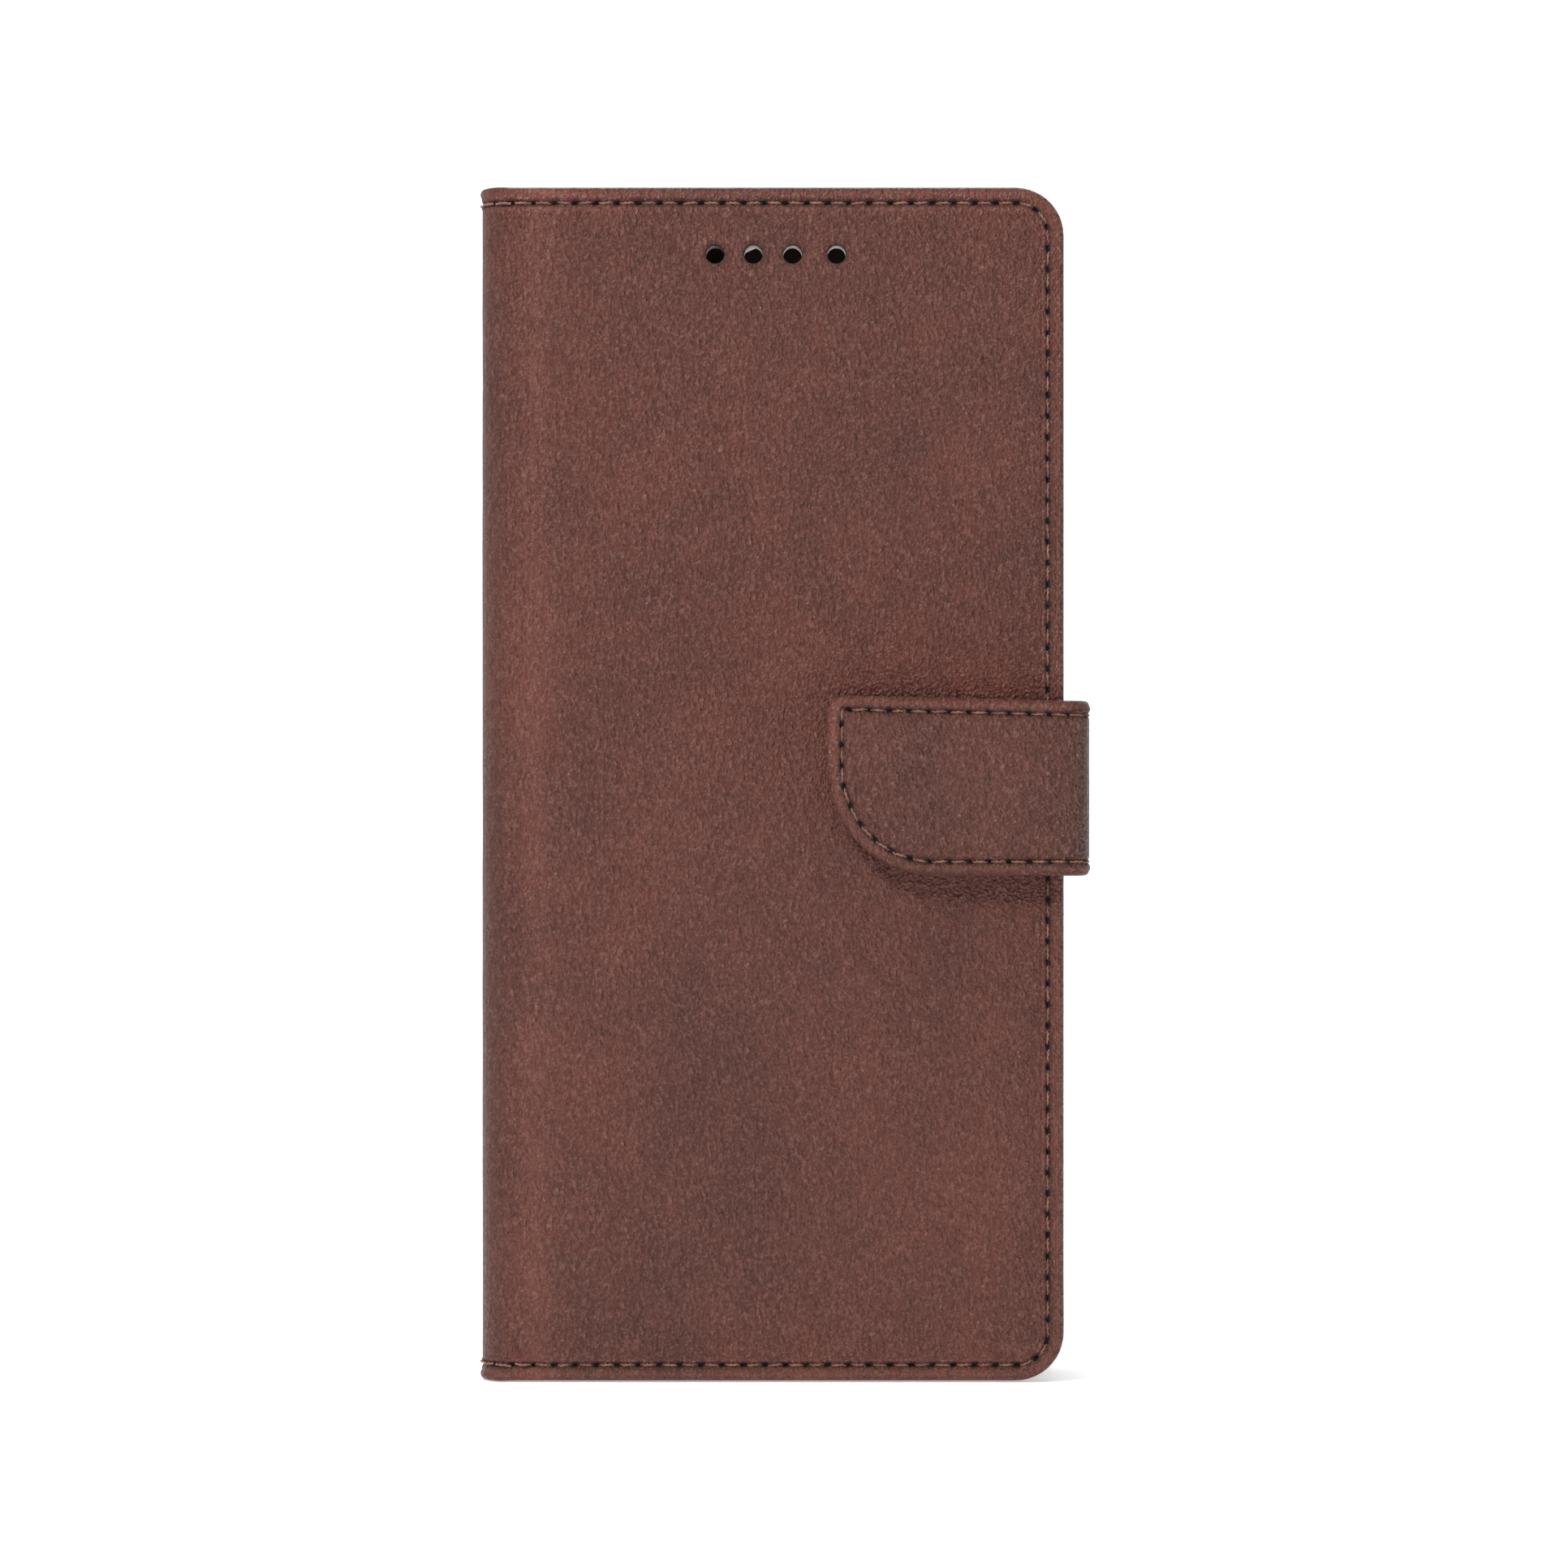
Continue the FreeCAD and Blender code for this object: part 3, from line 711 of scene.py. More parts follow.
def thread(name, dark, light):
    kit = Finish(name)
    fluff = kit.noise(0.16, 3, 0.7)
    dirt = kit.noise(2.2, 2, 0.5)
    tone = kit.step(fluff * 0.6 + dirt * 0.5, 0.35, 0.75)
    kit.set(
        Base_Color=kit.mix(tone, dark, light),
        Roughness=0.42 + 0.2 * fluff,
        Normal=kit.bump(fluff, 0.03, 0.8),
        Sheen_Weight=0.25,
        Sheen_Roughness=0.4,
    )
    return kit.material


front_thread = thread("front_thread", (0.05, 0.013, 0.009), (0.34, 0.15, 0.105))
back_thread = thread("back_thread", (0.16, 0.043, 0.018), (0.52, 0.21, 0.10))

# %% [markdown]
# ## Stitches
# A row of stitches is one short shape repeated along a path. Geometry Nodes suit that: the path
# gives a point for each stitch with its direction and the leather's normal, and the tree draws
# one two-ply stitch that dives into the needle holes at both ends, sets it on every point, turns
# each a little differently, and makes the whole row real geometry.

# %% The stitch tree


def stitch_tree():
    tree = bpy.data.node_groups.new("stitch_row", "GeometryNodeTree")
    face = tree.interface
    face.new_socket("Points", in_out="INPUT", socket_type="NodeSocketGeometry")
    for title, value in (("Length", 0.0024), ("Width", 0.0005), ("Dive", 0.0005), ("Twists", 1.6)):
        face.new_socket(title, in_out="INPUT", socket_type="NodeSocketFloat").default_value = value
    face.new_socket("Seed", in_out="INPUT", socket_type="NodeSocketInt").default_value = 7
    face.new_socket("Thread", in_out="INPUT", socket_type="NodeSocketMaterial")
    face.new_socket("Row", in_out="OUTPUT", socket_type="NodeSocketGeometry")
    nodes, links = tree.nodes, tree.links
    given = nodes.new("NodeGroupInput").outputs

    def node(kind, settings=None, **inputs):
        """Add a node. An input is given by its name, or by its number as i0, i1 and so on."""
        made = nodes.new(kind)
        for key, setting in (settings or {}).items():
            setattr(made, key, setting)
        for key, value in inputs.items():
            socket = made.inputs[int(key[1:])] if key[0] == "i" and key[1:].isdigit() else made.inputs[key]
            if isinstance(value, bpy.types.NodeSocket):
                links.new(value, socket)
            else:
                socket.default_value = value
        return made

    def times(a, b):
        return node("ShaderNodeMath", {"operation": "MULTIPLY"}, i0=a, i1=b).outputs[0]

    def point(x, y, z):
        return node("ShaderNodeCombineXYZ", i0=x, i1=y, i2=z).outputs[0]

    half = times(given["Length"], 0.5)
    low = times(given["Dive"], -1.0)
    arc = node("GeometryNodeCurveQuadraticBezier", Resolution=8)
    links.new(point(times(half, -1.0), 0.0, low), arc.inputs["Start"])
    links.new(point(0.0, 0.0, times(given["Dive"], 0.9)), arc.inputs["Middle"])
    links.new(point(half, 0.0, low), arc.inputs["End"])
    factor = node("GeometryNodeSplineParameter").outputs["Factor"]
    turn = times(times(factor, given["Twists"]), 2 * math.pi)
    twisted = node("GeometryNodeSetCurveTilt", Curve=arc.outputs[0], Tilt=turn).outputs[0]
    ply = node("GeometryNodeCurvePrimitiveCircle", Resolution=6)
    links.new(times(given["Width"], 0.29), ply.inputs["Radius"])
    plies = nodes.new("GeometryNodeJoinGeometry")
    for side in (-0.24, 0.24):
        moved = node("GeometryNodeTransform", Geometry=ply.outputs[0])
        links.new(point(times(given["Width"], side), 0.0, 0.0), moved.inputs["Translation"])
        links.new(moved.outputs[0], plies.inputs[0])
    made = node("GeometryNodeCurveToMesh", i0=twisted)
    links.new(plies.outputs[0], made.inputs["Profile Curve"])
    made.inputs["Fill Caps"].default_value = True

    def vector(title):
        read = node("GeometryNodeInputNamedAttribute", {"data_type": "FLOAT_VECTOR"}, Name=title)
        return read.outputs["Attribute"]

    facing = nodes.new("FunctionNodeAxesToRotation")
    facing.primary_axis, facing.secondary_axis = "X", "Z"
    links.new(vector("along"), facing.inputs[0])
    links.new(vector("up"), facing.inputs[1])
    shake = node("FunctionNodeRandomValue", {"data_type": "FLOAT_VECTOR"}, Seed=given["Seed"])
    shake.inputs["Min"].default_value = (-0.25, -0.05, -0.10)
    shake.inputs["Max"].default_value = (0.25, 0.05, 0.10)
    spin = node("FunctionNodeRotateRotation", {"rotation_space": "LOCAL"}, Rotation=facing.outputs[0])
    links.new(shake.outputs[0], spin.inputs["Rotate By"])
    placed = node("GeometryNodeInstanceOnPoints", Points=given["Points"], Instance=made.outputs[0])
    links.new(spin.outputs[0], placed.inputs["Rotation"])
    real = node("GeometryNodeRealizeInstances", Geometry=placed.outputs[0])
    smooth = node("GeometryNodeSetShadeSmooth", Geometry=real.outputs[0])
    painted = node("GeometryNodeSetMaterial", Geometry=smooth.outputs[0], Material=given["Thread"])
    links.new(painted.outputs[0], nodes.new("NodeGroupOutput").inputs[0])
    return tree


STITCH_TREE = stitch_tree()
SOCKETS = {item.name: item.identifier for item in STITCH_TREE.interface.items_tree}
print("stitch tree inputs", sorted(SOCKETS))

# %% Sew a row


def sew(name, place, stitches, length, material, width=0.38, sink=0.12, seed=7):
    """One row of stitches on a slab. stitches are pattern places and directions."""
    places, along = stitches
    u, z = places[:, 0], places[:, 1]
    small = 0.05
    centre = place(u, z, np.full(len(u), sink))
    ahead = place(u + small * along[:, 0], z + small * along[:, 1], np.full(len(u), sink))
    out = place(u, z, np.full(len(u), sink - small)) - centre
    points = bpy.data.meshes.new(name)
    points.from_pydata(centre.tolist(), [], [])
    for title, vectors in (("along", ahead - centre), ("up", out)):
        unit = vectors / np.linalg.norm(vectors, axis=1)[:, None]
        data = points.attributes.new(title, "FLOAT_VECTOR", "POINT").data
        data.foreach_set("vector", unit.astype(np.float32).ravel())
    row = bpy.data.objects.new(name, points)
    bpy.context.scene.collection.objects.link(row)
    nodes = row.modifiers.new("stitches", "NODES")
    nodes.node_group = STITCH_TREE
    nodes[SOCKETS["Length"]] = length * MM
    nodes[SOCKETS["Width"]] = width * MM
    nodes[SOCKETS["Seed"]] = seed
    nodes[SOCKETS["Thread"]] = material
    row.update_tag()
    ready = row.evaluated_get(bpy.context.evaluated_depsgraph_get())
    made = bpy.data.meshes.new_from_object(ready)
    row.modifiers.clear()
    row.data = made
    print(name, len(u), "stitches", len(made.polygons), "faces")
    return row


def part_of(stitches, keep):
    """The stitches for which keep is true."""
    places, along = stitches
    return places[keep], along[keep]


# %% [markdown]
# ## The two covers
# The outer hide is one piece from free edge to free edge, over the spine. Here it is two meshes
# that meet in the middle of the spine, because a piece may bend across one joint only. Between
# the stitch row and the edge the leather is puffed into a bead by the turned-in layer, and the
# stitch row lies in a groove.

# %% Relief of a cover


def border_relief(pattern, holes):
    """Bead, groove and needle holes of a stitched border."""

    def relief(u, z):
        inset = pattern.inset(u, z)
        off = inset - STITCH_INSET
        pit = pit_relief(u, z, holes)
        groove = bell(off, GROOVE_WIDTH)
        bead = bell(inset - 1.05, 0.75)
        height = BEAD_HEIGHT * bead - GROOVE_DEPTH * groove - PIT_DEPTH * pit * 0.8
        height = height + 0.05 * wander(u, z, 13, 3.1) + 0.018 * wander(u, z, 4.2, 8.4)
        height = height - 0.3 * (1 - ease(u, -1, 9))
        # Bead and groove lips are lighter and redder: partly rubbing, partly a painted highlight.
        raised = np.clip(bead * 0.75 + 0.6 * bell(off - 0.75, 0.4), 0, 1)
        # The groove is darker from pressing and painted shade, and the roll round the spine is painted darker
        # as painted shade.
        pressed = np.clip(groove * (1 - pit) + 0.42 * ease(-u, 0, 1.6), 0, 1)
        return height, {"pit": pit, "pressed": pressed, "raised": raised * (1 - groove)}

    return relief


def add_mark(marks, name, value):
    """Add to a colour mark, and keep it between 0 and 1."""
    marks[name] = np.clip(marks[name] + value, 0, 1)


COVER_BORDER = (
    [(3.5, 0, 1)]
    + [(inset, 0, 3) for inset in (3.1, 2.9, 2.7, 2.5, 2.3, 2.1, 1.9, 1.7, 1.5)]
    + [(1.15, 0, 1), (0.8, 0.008, 1), (0.5, 0.035, 1), (0.27, 0.09, 1), (0.1, 0.18, 1), (0.0, 0.33, 1)]
    + [(0.0, 0.7, 1), (0.12, 0.9, 1), (0.45, 1, 1), (1.6, 1, 1), (3.5, 1, 1)]
)
PANEL_LENGTH = FREE_EDGE - BEND_X
PATTERN_START = -(QUARTER + HALF_SPINE)
cover = Pattern(PATTERN_START, PANEL_LENGTH, 0, HEIGHT, [CORNER, CORNER])
stitch_line = cover.ring(STITCH_INSET, 3)
front_holes = walk(stitch_line, FRONT_PITCH, 0.0)
front_stitches = walk(stitch_line, FRONT_PITCH, 0.5)
back_holes = walk(stitch_line, BACK_PITCH, 0.0)
back_stitches = walk(stitch_line, BACK_PITCH, 0.5)
print("needle holes", len(front_holes[0]), "front,", len(back_holes[0]), "back")

# %% [markdown]
# ### Front cover
# Four punched holes near the top let the phone's earpiece be heard. Each is punched through a
# slightly pressed dimple, so its rim rolls in. They are built as rings like the border, so the
# wall of the hole is real and runs through to the card panel.

# %% Front cover mesh
HOLE_RADIUS = 1.3
HOLES_FROM_SPINE = (33.3, 38.7, 44.2, 50.4)
HOLES_Z = HEIGHT - 9.5
DIMPLE_REACH = 1.3
ROUND_HOLES = 4
CLOSE = 0.42
hole_places = [x - BEND for x in HOLES_FROM_SPINE]


def punched(u, z):
    """A punched sound hole for the slab builder."""
    steps = [(DIMPLE_REACH, 0), (0.95, 0), (0.65, 0), (0.38, 0), (0.18, 0)]
    steps += [(0.06, 0.03), (0.0, 0.09), (0.0, 0.5), (0.0, 1), (DIMPLE_REACH, 1)]
    away = lambda a, b: np.hypot(a - u, b - z) - HOLE_RADIUS
    return circle_loop(u, z, HOLE_RADIUS, 40), steps, away


def front_relief(u, z):
    height, marks = border_relief(cover, front_holes)(u, z)
    for hole in hole_places:
        away = np.hypot(u - hole, z - HOLES_Z) - HOLE_RADIUS
        height = height - 0.16 * bell(np.maximum(away, 0), 0.75)
        # Painted shade in the dimple round each sound hole.
        add_mark(marks, "pressed", 0.75 * bell(np.maximum(away, 0), 0.5))
        add_mark(marks, "raised", 0.35 * bell(away - 1.35, 0.5))
        # Painted shade: the wall of each sound hole is painted near black.
        add_mark(marks, "pit", bell(np.maximum(away + 0.05, 0), 0.12))
    # A band beside the bend is painted lighter and redder: a painted sheen where the leather curves to the
    # spine.
    add_mark(marks, "raised", 0.55 * bell(u - 3.4, 2.8))
    crease_u = hole_places[1] + 2.9 + 0.5 * np.sin((z - HOLES_Z) * 0.8)
    crease = bell(u - crease_u, 0.3) * bell(z - HOLES_Z, 2.2)
    height = height - 0.07 * crease
    pillow = 0.22 * ease(cover.inset(u, z), 2.6, 14)
    return height + pillow * ease(u, 0, 12), marks


def dense(u_values, z_values):
    """Field points on a close grid, and the test for the plain points inside it."""
    grid = np.meshgrid(u_values, z_values)
    low_u, high_u, low_z, high_z = min(u_values), max(u_values), min(z_values), max(z_values)
    near = lambda u, z: (u > low_u - 0.4) & (u < high_u + 0.4) & (z > low_z - 0.4) & (z < high_z + 0.4)
    return np.stack([grid[0].ravel(), grid[1].ravel()], -1), near


def dense_rings(loop, away, offsets):
    """Field points on close rings round an opening, and the same test."""
    near = lambda u, z: away(u, z) < offsets[-1] + 0.4
    return np.concatenate([loop(offset) for offset in offsets]), near


front_place = cover_place(FRONT_Y, -1)
pocket_boxes = [node_box("card_pocket_" + name) for name in ("upper", "middle", "lower")]
pocket_low = np.min([low for low, _ in pocket_boxes], axis=0)
pocket_high = np.max([high for _, high in pocket_boxes], axis=0)
pocket_recess = (
    (pocket_low[0] - BEND_X, pocket_low[2]),
    (pocket_high[0] - BEND_X, pocket_high[2]),
    card_low[1] - pocket_low[1] + 0.05,
)
print("pocket recess", [np.round(v, 2).tolist() for v in pocket_recess])
front_cover = build_slab(
    "front_cover_hide",
    front_place,
    cover,
    cover_thickness(FRONT_THICK, pocket_recess),
    COVER_BORDER,
    front_relief,
    openings=[punched(u, HOLES_Z) for u in hole_places],
    fine=[
        dense(
            np.arange(hole_places[0] - ROUND_HOLES, hole_places[-1] + ROUND_HOLES, CLOSE),
            np.arange(HOLES_Z - ROUND_HOLES, HOLES_Z + ROUND_HOLES, CLOSE),
        )
    ],
)
front_cover.data.materials.append(cover_leather)
front_cover.data.materials.append(lining_leather)

# %% [markdown]
# ### Back cover
# The back has the camera opening, whose edge is rolled in round the shell's ring, and a sewn
# fold seam below it. The seam is pressed into a shallow channel with a ridge on each side.

# %% Back cover mesh
WINDOW_FROM_EDGE = 6.5
WINDOW_FROM_TOP = 4.8
WINDOW_SIZE = (45.0, 46.7)
WINDOW_CORNER = 11.5
SEAM_FROM_EDGE = 40.1
SEAM_PITCH = 3.4
SEAM_RIDGE = 2.4
SEAM_FOOT = STITCH_INSET + 1.6

window_u = (PANEL_LENGTH - WINDOW_FROM_EDGE - WINDOW_SIZE[0], PANEL_LENGTH - WINDOW_FROM_EDGE)
window_z = (HEIGHT - WINDOW_FROM_TOP - WINDOW_SIZE[1], HEIGHT - WINDOW_FROM_TOP)
seam_u = PANEL_LENGTH - SEAM_FROM_EDGE
seam_line = np.array([[seam_u, window_z[0] - 3.4], [seam_u, SEAM_FOOT]])
seam_holes = walk(seam_line, SEAM_PITCH, 0.0)
seam_stitches = walk(seam_line, SEAM_PITCH, 0.5)


def window_away(u, z):
    return rounded_distance(u, z, window_u, window_z, WINDOW_CORNER)


def back_relief(u, z):
    height, marks = border_relief(cover, back_holes)(u, z)
    below = ease(window_z[0] - 1.2 - z, 0, 2.5) * ease(z, STITCH_INSET, SEAM_FOOT)
    off = u - seam_u
    channel = bell(off, 1.5) * below
    line = bell(off, 0.4) * below
    ridge = (bell(off - SEAM_RIDGE, 0.45) + bell(off + SEAM_RIDGE, 0.45)) * below
    pit = pit_relief(u, z, seam_holes)
    height = height - 0.26 * channel - 0.18 * line + 0.17 * ridge - PIT_DEPTH * 0.8 * pit
    rim = window_away(u, z)
    height = height - 0.10 * bell(np.maximum(rim, 0), 0.5) + 0.06 * bell(rim - 1.3, 0.8)
    add_mark(marks, "pit", pit)
    # Darker seam line and channel from pressing, and a painted shade round the camera opening.
    add_mark(marks, "pressed", 0.8 * line * (1 - pit) + 0.25 * channel + 0.5 * bell(rim, 0.35))
    # The seam ridges and the window's rim are lighter and redder: partly stretched leather, partly a painted
    # highlight on the ridges.
    add_mark(marks, "raised", 0.9 * ridge + 0.8 * bell(rim - 1.1, 0.9))
    crease = bell(u + 0.2, 0.35)
    height = height - 0.06 * crease
    # The crease is also painted darker, as painted shade.
    add_mark(marks, "pressed", 0.35 * crease)
    return height, marks


SEAM_COLUMNS = (0, 0.2, 0.4, 0.6, 0.9, 1.3, 1.7, 2.05, 2.4, 2.75, 3.1, 3.6)
seam_columns = seam_u + np.array([-c for c in reversed(SEAM_COLUMNS[1:])] + list(SEAM_COLUMNS))
window_opening = (
    rounded_loop(window_u, window_z, WINDOW_CORNER, 0.8),
    [(1.15, 0), (0.8, 0), (0.5, 0), (0.25, 0), (0.08, 0.05), (0.0, 0.14), (0.0, 0.5), (0.0, 1), (1.15, 1)],
    window_away,
)
back_place = cover_place(BACK_Y, 1)
back_cover = build_slab(
    "back_cover_hide",
    back_place,
    cover,
    cover_thickness(BACK_THICK),
    COVER_BORDER,
    back_relief,
    openings=[window_opening],
    fine=[
        dense(seam_columns, np.arange(3.6, window_z[0] - 1.2, CLOSE)),
        dense_rings(window_opening[0], window_away, (1.5, 1.95, 2.5, 3.1, 3.8)),
        dense(np.arange(-1.2, 1.0, 0.3), np.arange(3.9, HEIGHT - 3.9, 0.9)),
    ],
)
back_cover.data.materials.append(cover_leather)
back_cover.data.materials.append(lining_leather)

# %% [markdown]
# ## Riding and staying
# The hide bends where a cover meets the spine. Each half of the hide, and the stitches on its bend, stay
# where they are made and follow no moving part. The stitches on the flat cover simply ride.

on_flat = front_stitches[0][:, 0] > 0.5
flat, bent = part_of(front_stitches, on_flat), part_of(front_stitches, ~on_flat)
front_row = sew("front_stitches", front_place, flat, 2.2, front_thread)
front_bend_row = sew("front_bend_stitches", front_place, bent, 2.2, front_thread, seed=9)
on_flat = back_stitches[0][:, 0] > 0.5
flat, bent = part_of(back_stitches, on_flat), part_of(back_stitches, ~on_flat)
THICK = 0.46
back_row = sew("back_stitches", back_place, flat, 2.6, back_thread, width=THICK, seed=3)
back_bend_row = sew("back_bend_stitches", back_place, bent, 2.6, back_thread, width=THICK, seed=4)
seam_row = sew(
    "fold_seam_stitches", back_place, seam_stitches, 2.7, back_thread, width=THICK, sink=0.26, seed=5
)

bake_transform(front_cover)
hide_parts("front_leather", "front_lining", "spine_leather", "spine_lining")
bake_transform(back_cover)
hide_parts("back_leather", "back_lining")
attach(front_row, "front_cover")
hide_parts("front_edge_thread")
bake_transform(front_bend_row)
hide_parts("spine_edge_thread")
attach(back_row, "holder")
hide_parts("back_edge_thread")
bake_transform(back_bend_row)
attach(seam_row, "holder")
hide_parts("fold_seam_thread")

# %% [markdown]
# ## The card panel
# Inside the front cover a thinner leather panel carries three card slots. Each slot is an opening
# with a leather binding, and a line is pressed into the panel round it. The panel has its own
# view of the border stitches, which run along the spine side too.

# %% Card panel
SLOT_NAMES = ("upper", "middle", "lower")
welt_boxes = [node_box("slot_welt_" + name) for name in SLOT_NAMES]
CARD_MARGIN = FREE_EDGE - card_high[0]
PANEL_Y = card_high[1]
PANEL_THICK = card_high[1] - card_low[1]
card_pattern = Pattern(
    card_low[0], card_high[0], card_low[2], card_high[2], [CORNER - CARD_MARGIN] * 2 + [0.8] * 2, closed=True
)
card_line = card_pattern.ring(STITCH_INSET - CARD_MARGIN, 3)
card_line = np.concatenate([card_line, card_line[:1]])
card_holes = walk(card_line, FRONT_PITCH, 0.0)
card_stitches = walk(card_line, FRONT_PITCH, 0.5)
PRESSED_LINE = 1.5


def flat_place(face_y):
    """Lay a pattern flat, with its outer face at face_y looking along +Y."""

    def place(u, z, depth):
        return np.stack([u + 0 * z, face_y - depth, z + 0 * u], -1) * MM

    return place


def even(thick):
    return lambda u, z: thick + 0 * u


def slot_shape(box):
    """(u range, z range, corner radius) of a slot with round ends."""
    low, high = box
    return (low[0], high[0]), (low[2], high[2]), (high[2] - low[2]) / 2 - 0.01


def slot_away(box):
    return lambda u, z: rounded_distance(u, z, *slot_shape(box))


def card_relief(u, z):
    inset = card_pattern.inset(u, z)
    off = inset - (STITCH_INSET - CARD_MARGIN)
    pit = pit_relief(u, z, card_holes)
    groove = bell(off, GROOVE_WIDTH)
    height = 0.06 * bell(inset - 0.9, 0.6) - 0.2 * groove - 0.3 * pit + 0.02 * wander(u, z, 11, 5.2)
    marks = {"pit": pit, "pressed": groove * (1 - pit), "raised": 0.6 * bell(inset - 0.6, 0.6)}
    for box in welt_boxes:
        away = slot_away(box)(u, z)
        height = height - 0.09 * bell(away - PRESSED_LINE, 0.28) - 0.08 * bell(np.maximum(away, 0), 0.3)
        # Darker round each slot and along its line: partly from pressing, partly painted shade.
        add_mark(marks, "pressed", 0.5 * bell(away - PRESSED_LINE, 0.3) + 0.6 * bell(away, 0.25))
        add_mark(marks, "raised", 0.4 * bell(away - PRESSED_LINE - 0.7, 0.4))
    return height, marks


def slot_opening(box):
    steps = [(0.85, 0), (0.6, 0), (0.35, 0), (0.12, 0), (0.0, 0.08), (0.0, 0.6), (0.0, 1), (0.85, 1)]
    return rounded_loop(*slot_shape(box), 0.9), steps, slot_away(box)


CARD_BORDER = (
    [(2.6, 0, 1)]
    + [(inset, 0, 3) for inset in (2.4, 2.2, 2.05, 1.9, 1.75, 1.6, 1.4, 1.2)]
    + [(0.8, 0, 1), (0.45, 0.05, 1), (0.2, 0.2, 1), (0.05, 0.5, 1), (0.0, 0.8, 1), (0.1, 1, 1), (2.6, 1, 1)]
)
AROUND_SLOT = (1.1, 1.3, 1.5, 1.7, 1.95, 2.3, 2.8)
card_place = flat_place(PANEL_Y)
card_slots = [slot_opening(box) for box in welt_boxes]
card_panel = build_slab(
    "card_panel_hide",
    card_place,
    card_pattern,
    even(PANEL_THICK),
    CARD_BORDER,
    card_relief,
    openings=card_slots + [punched(SPINE_X + x, HOLES_Z) for x in HOLES_FROM_SPINE],
    fine=[dense_rings(loop, away, AROUND_SLOT) for loop, _, away in card_slots],
)
card_panel.data.materials.append(card_leather)
card_panel.data.materials.append(lining_leather)
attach(card_panel, "front_cover")
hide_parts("card_panel")
card_row = sew("card_panel_stitches", card_place, card_stitches, 2.35, front_thread, seed=11)
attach(card_row, "front_cover")
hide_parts("card_panel_thread")

# %% [markdown]
# ### Slot bindings
# A binding is a narrow strip folded over the slot's edge, so its section is a flat-backed
# cushion. The section is carried round the slot's outline. A bevelled copy of the flat ring
# would keep its hard section, and the fold is what catches the light.

# %% Slot bindings
BAND = 2.0
HEM = 0.02


def binding_section(rise):
    """(across, up) points of the folded strip: a cushion with a flat back."""
    half = BAND / 2
    turns = np.linspace(0, math.pi, 9)
    cushion = [(half - (half - HEM) * math.cos(t), rise * (0.45 + 0.55 * math.sin(t) ** 0.6)) for t in turns]
    return [(HEM, 0.1 * rise)] + cushion + [(BAND - HEM, 0.1 * rise), (half, HEM)]


for name, box in zip(SLOT_NAMES, welt_boxes):
    u_range, z_range, radius = slot_shape(box)
    outline = Pattern(*u_range, *z_range, [radius] * 4, closed=True, pitch=0.8)
    foot, rise = box[0][1], box[1][1] - box[0][1]
    section = binding_section(rise)
    points, faces = [], []
    for across, up in section:
        ring = outline.ring(across)
        ripple = 0.03 * wander(ring[:, 0], ring[:, 1], 3.0, 2.2) * (up > 0.5 * rise)
        points.append(np.stack([ring[:, 0], foot + up * (1 + ripple), ring[:, 1]], -1) * MM)
    count = len(points[0])
    for i in range(len(section)):
        j = (i + 1) % len(section)
        for k in range(count):
            m = (k + 1) % count
            faces.append([i * count + k, i * count + m, j * count + m, j * count + k])
    mesh = bpy.data.meshes.new("slot_binding_" + name)
    mesh.from_pydata(np.concatenate(points).tolist(), [], faces)
    # The whole binding takes a little of the lighter, redder colour: partly wear, partly a painted sheen.
    mesh.attributes.new("raised", "FLOAT", "POINT").data.foreach_set("value", [0.35] * len(mesh.vertices))
    binding = finish_mesh("slot_binding_" + name, mesh, sharp=60)
    binding.data.materials.append(card_leather)
    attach(binding, "front_cover")
    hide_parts("slot_welt_" + name)

# %% [markdown]
# ### Card pockets
# Behind each slot hangs a flat pocket of black woven nylon. Only a strip of it shows. The weave is two sets
# of waves at right angles: where the warp is high the weft is low. It is sewn along its top edge.

# %% Woven nylon
kit = Finish("woven_nylon")
across = kit.node("ShaderNodeSeparateXYZ", None, kit.place(), out=0)
upward = kit.node("ShaderNodeSeparateXYZ", None, kit.place(), out=2)
THREADS = 2 * math.pi / (0.42 * MM)
warp = (across * THREADS).sine()
weft = (upward * THREADS).sine()
weave = warp * weft
fuzz = kit.noise(0.2, 2, 0.6)
kit.set(
    Base_Color=kit.mix(kit.step(weave + fuzz * 0.8, -0.6, 1.2), (0.004, 0.004, 0.005), (0.035, 0.036, 0.042)),
    Roughness=0.55 + 0.2 * fuzz,
    Normal=kit.bump(weave * 0.5 + fuzz * 0.3, 0.06, 0.9),
    Sheen_Weight=0.3,
    Sheen_Roughness=0.35,
)
woven_nylon = kit.material

# %% Card pockets
POCKET_BORDER = [(3.0, 0, 1), (1.0, 0, 1), (0.1, 0.1, 1), (0.0, 0.5, 1), (0.1, 0.95, 1), (3.0, 1, 1)]


def pocket_relief(u, z):
    return 0.05 * wander(u, z, 9, 4.4) - 0.05, {"pit": 0 * u}


for name, (low, high) in zip(SLOT_NAMES, pocket_boxes):
    pocket = build_slab(
        "card_pocket_cloth_" + name,
        flat_place(high[1]),
        Pattern(low[0], high[0], low[2], high[2], [2.0] * 4, closed=True, pitch=2.0),
        even(high[1] - low[1]),
        POCKET_BORDER,
        pocket_relief,
    )
    pocket.data.materials.append(woven_nylon)
    pocket.data.materials.append(woven_nylon)
    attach(pocket, "front_cover")
    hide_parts("card_pocket_" + name)

# %% [markdown]
# ## The strap
# The strap leaves the back cover between its layers, crosses the case's thickness and closes on
# the front. Its pattern runs straight from root to tip, and one function wraps it round the two
# bends. It is two meshes that meet halfway across, one for each bend, for the same reason as the
# hide.

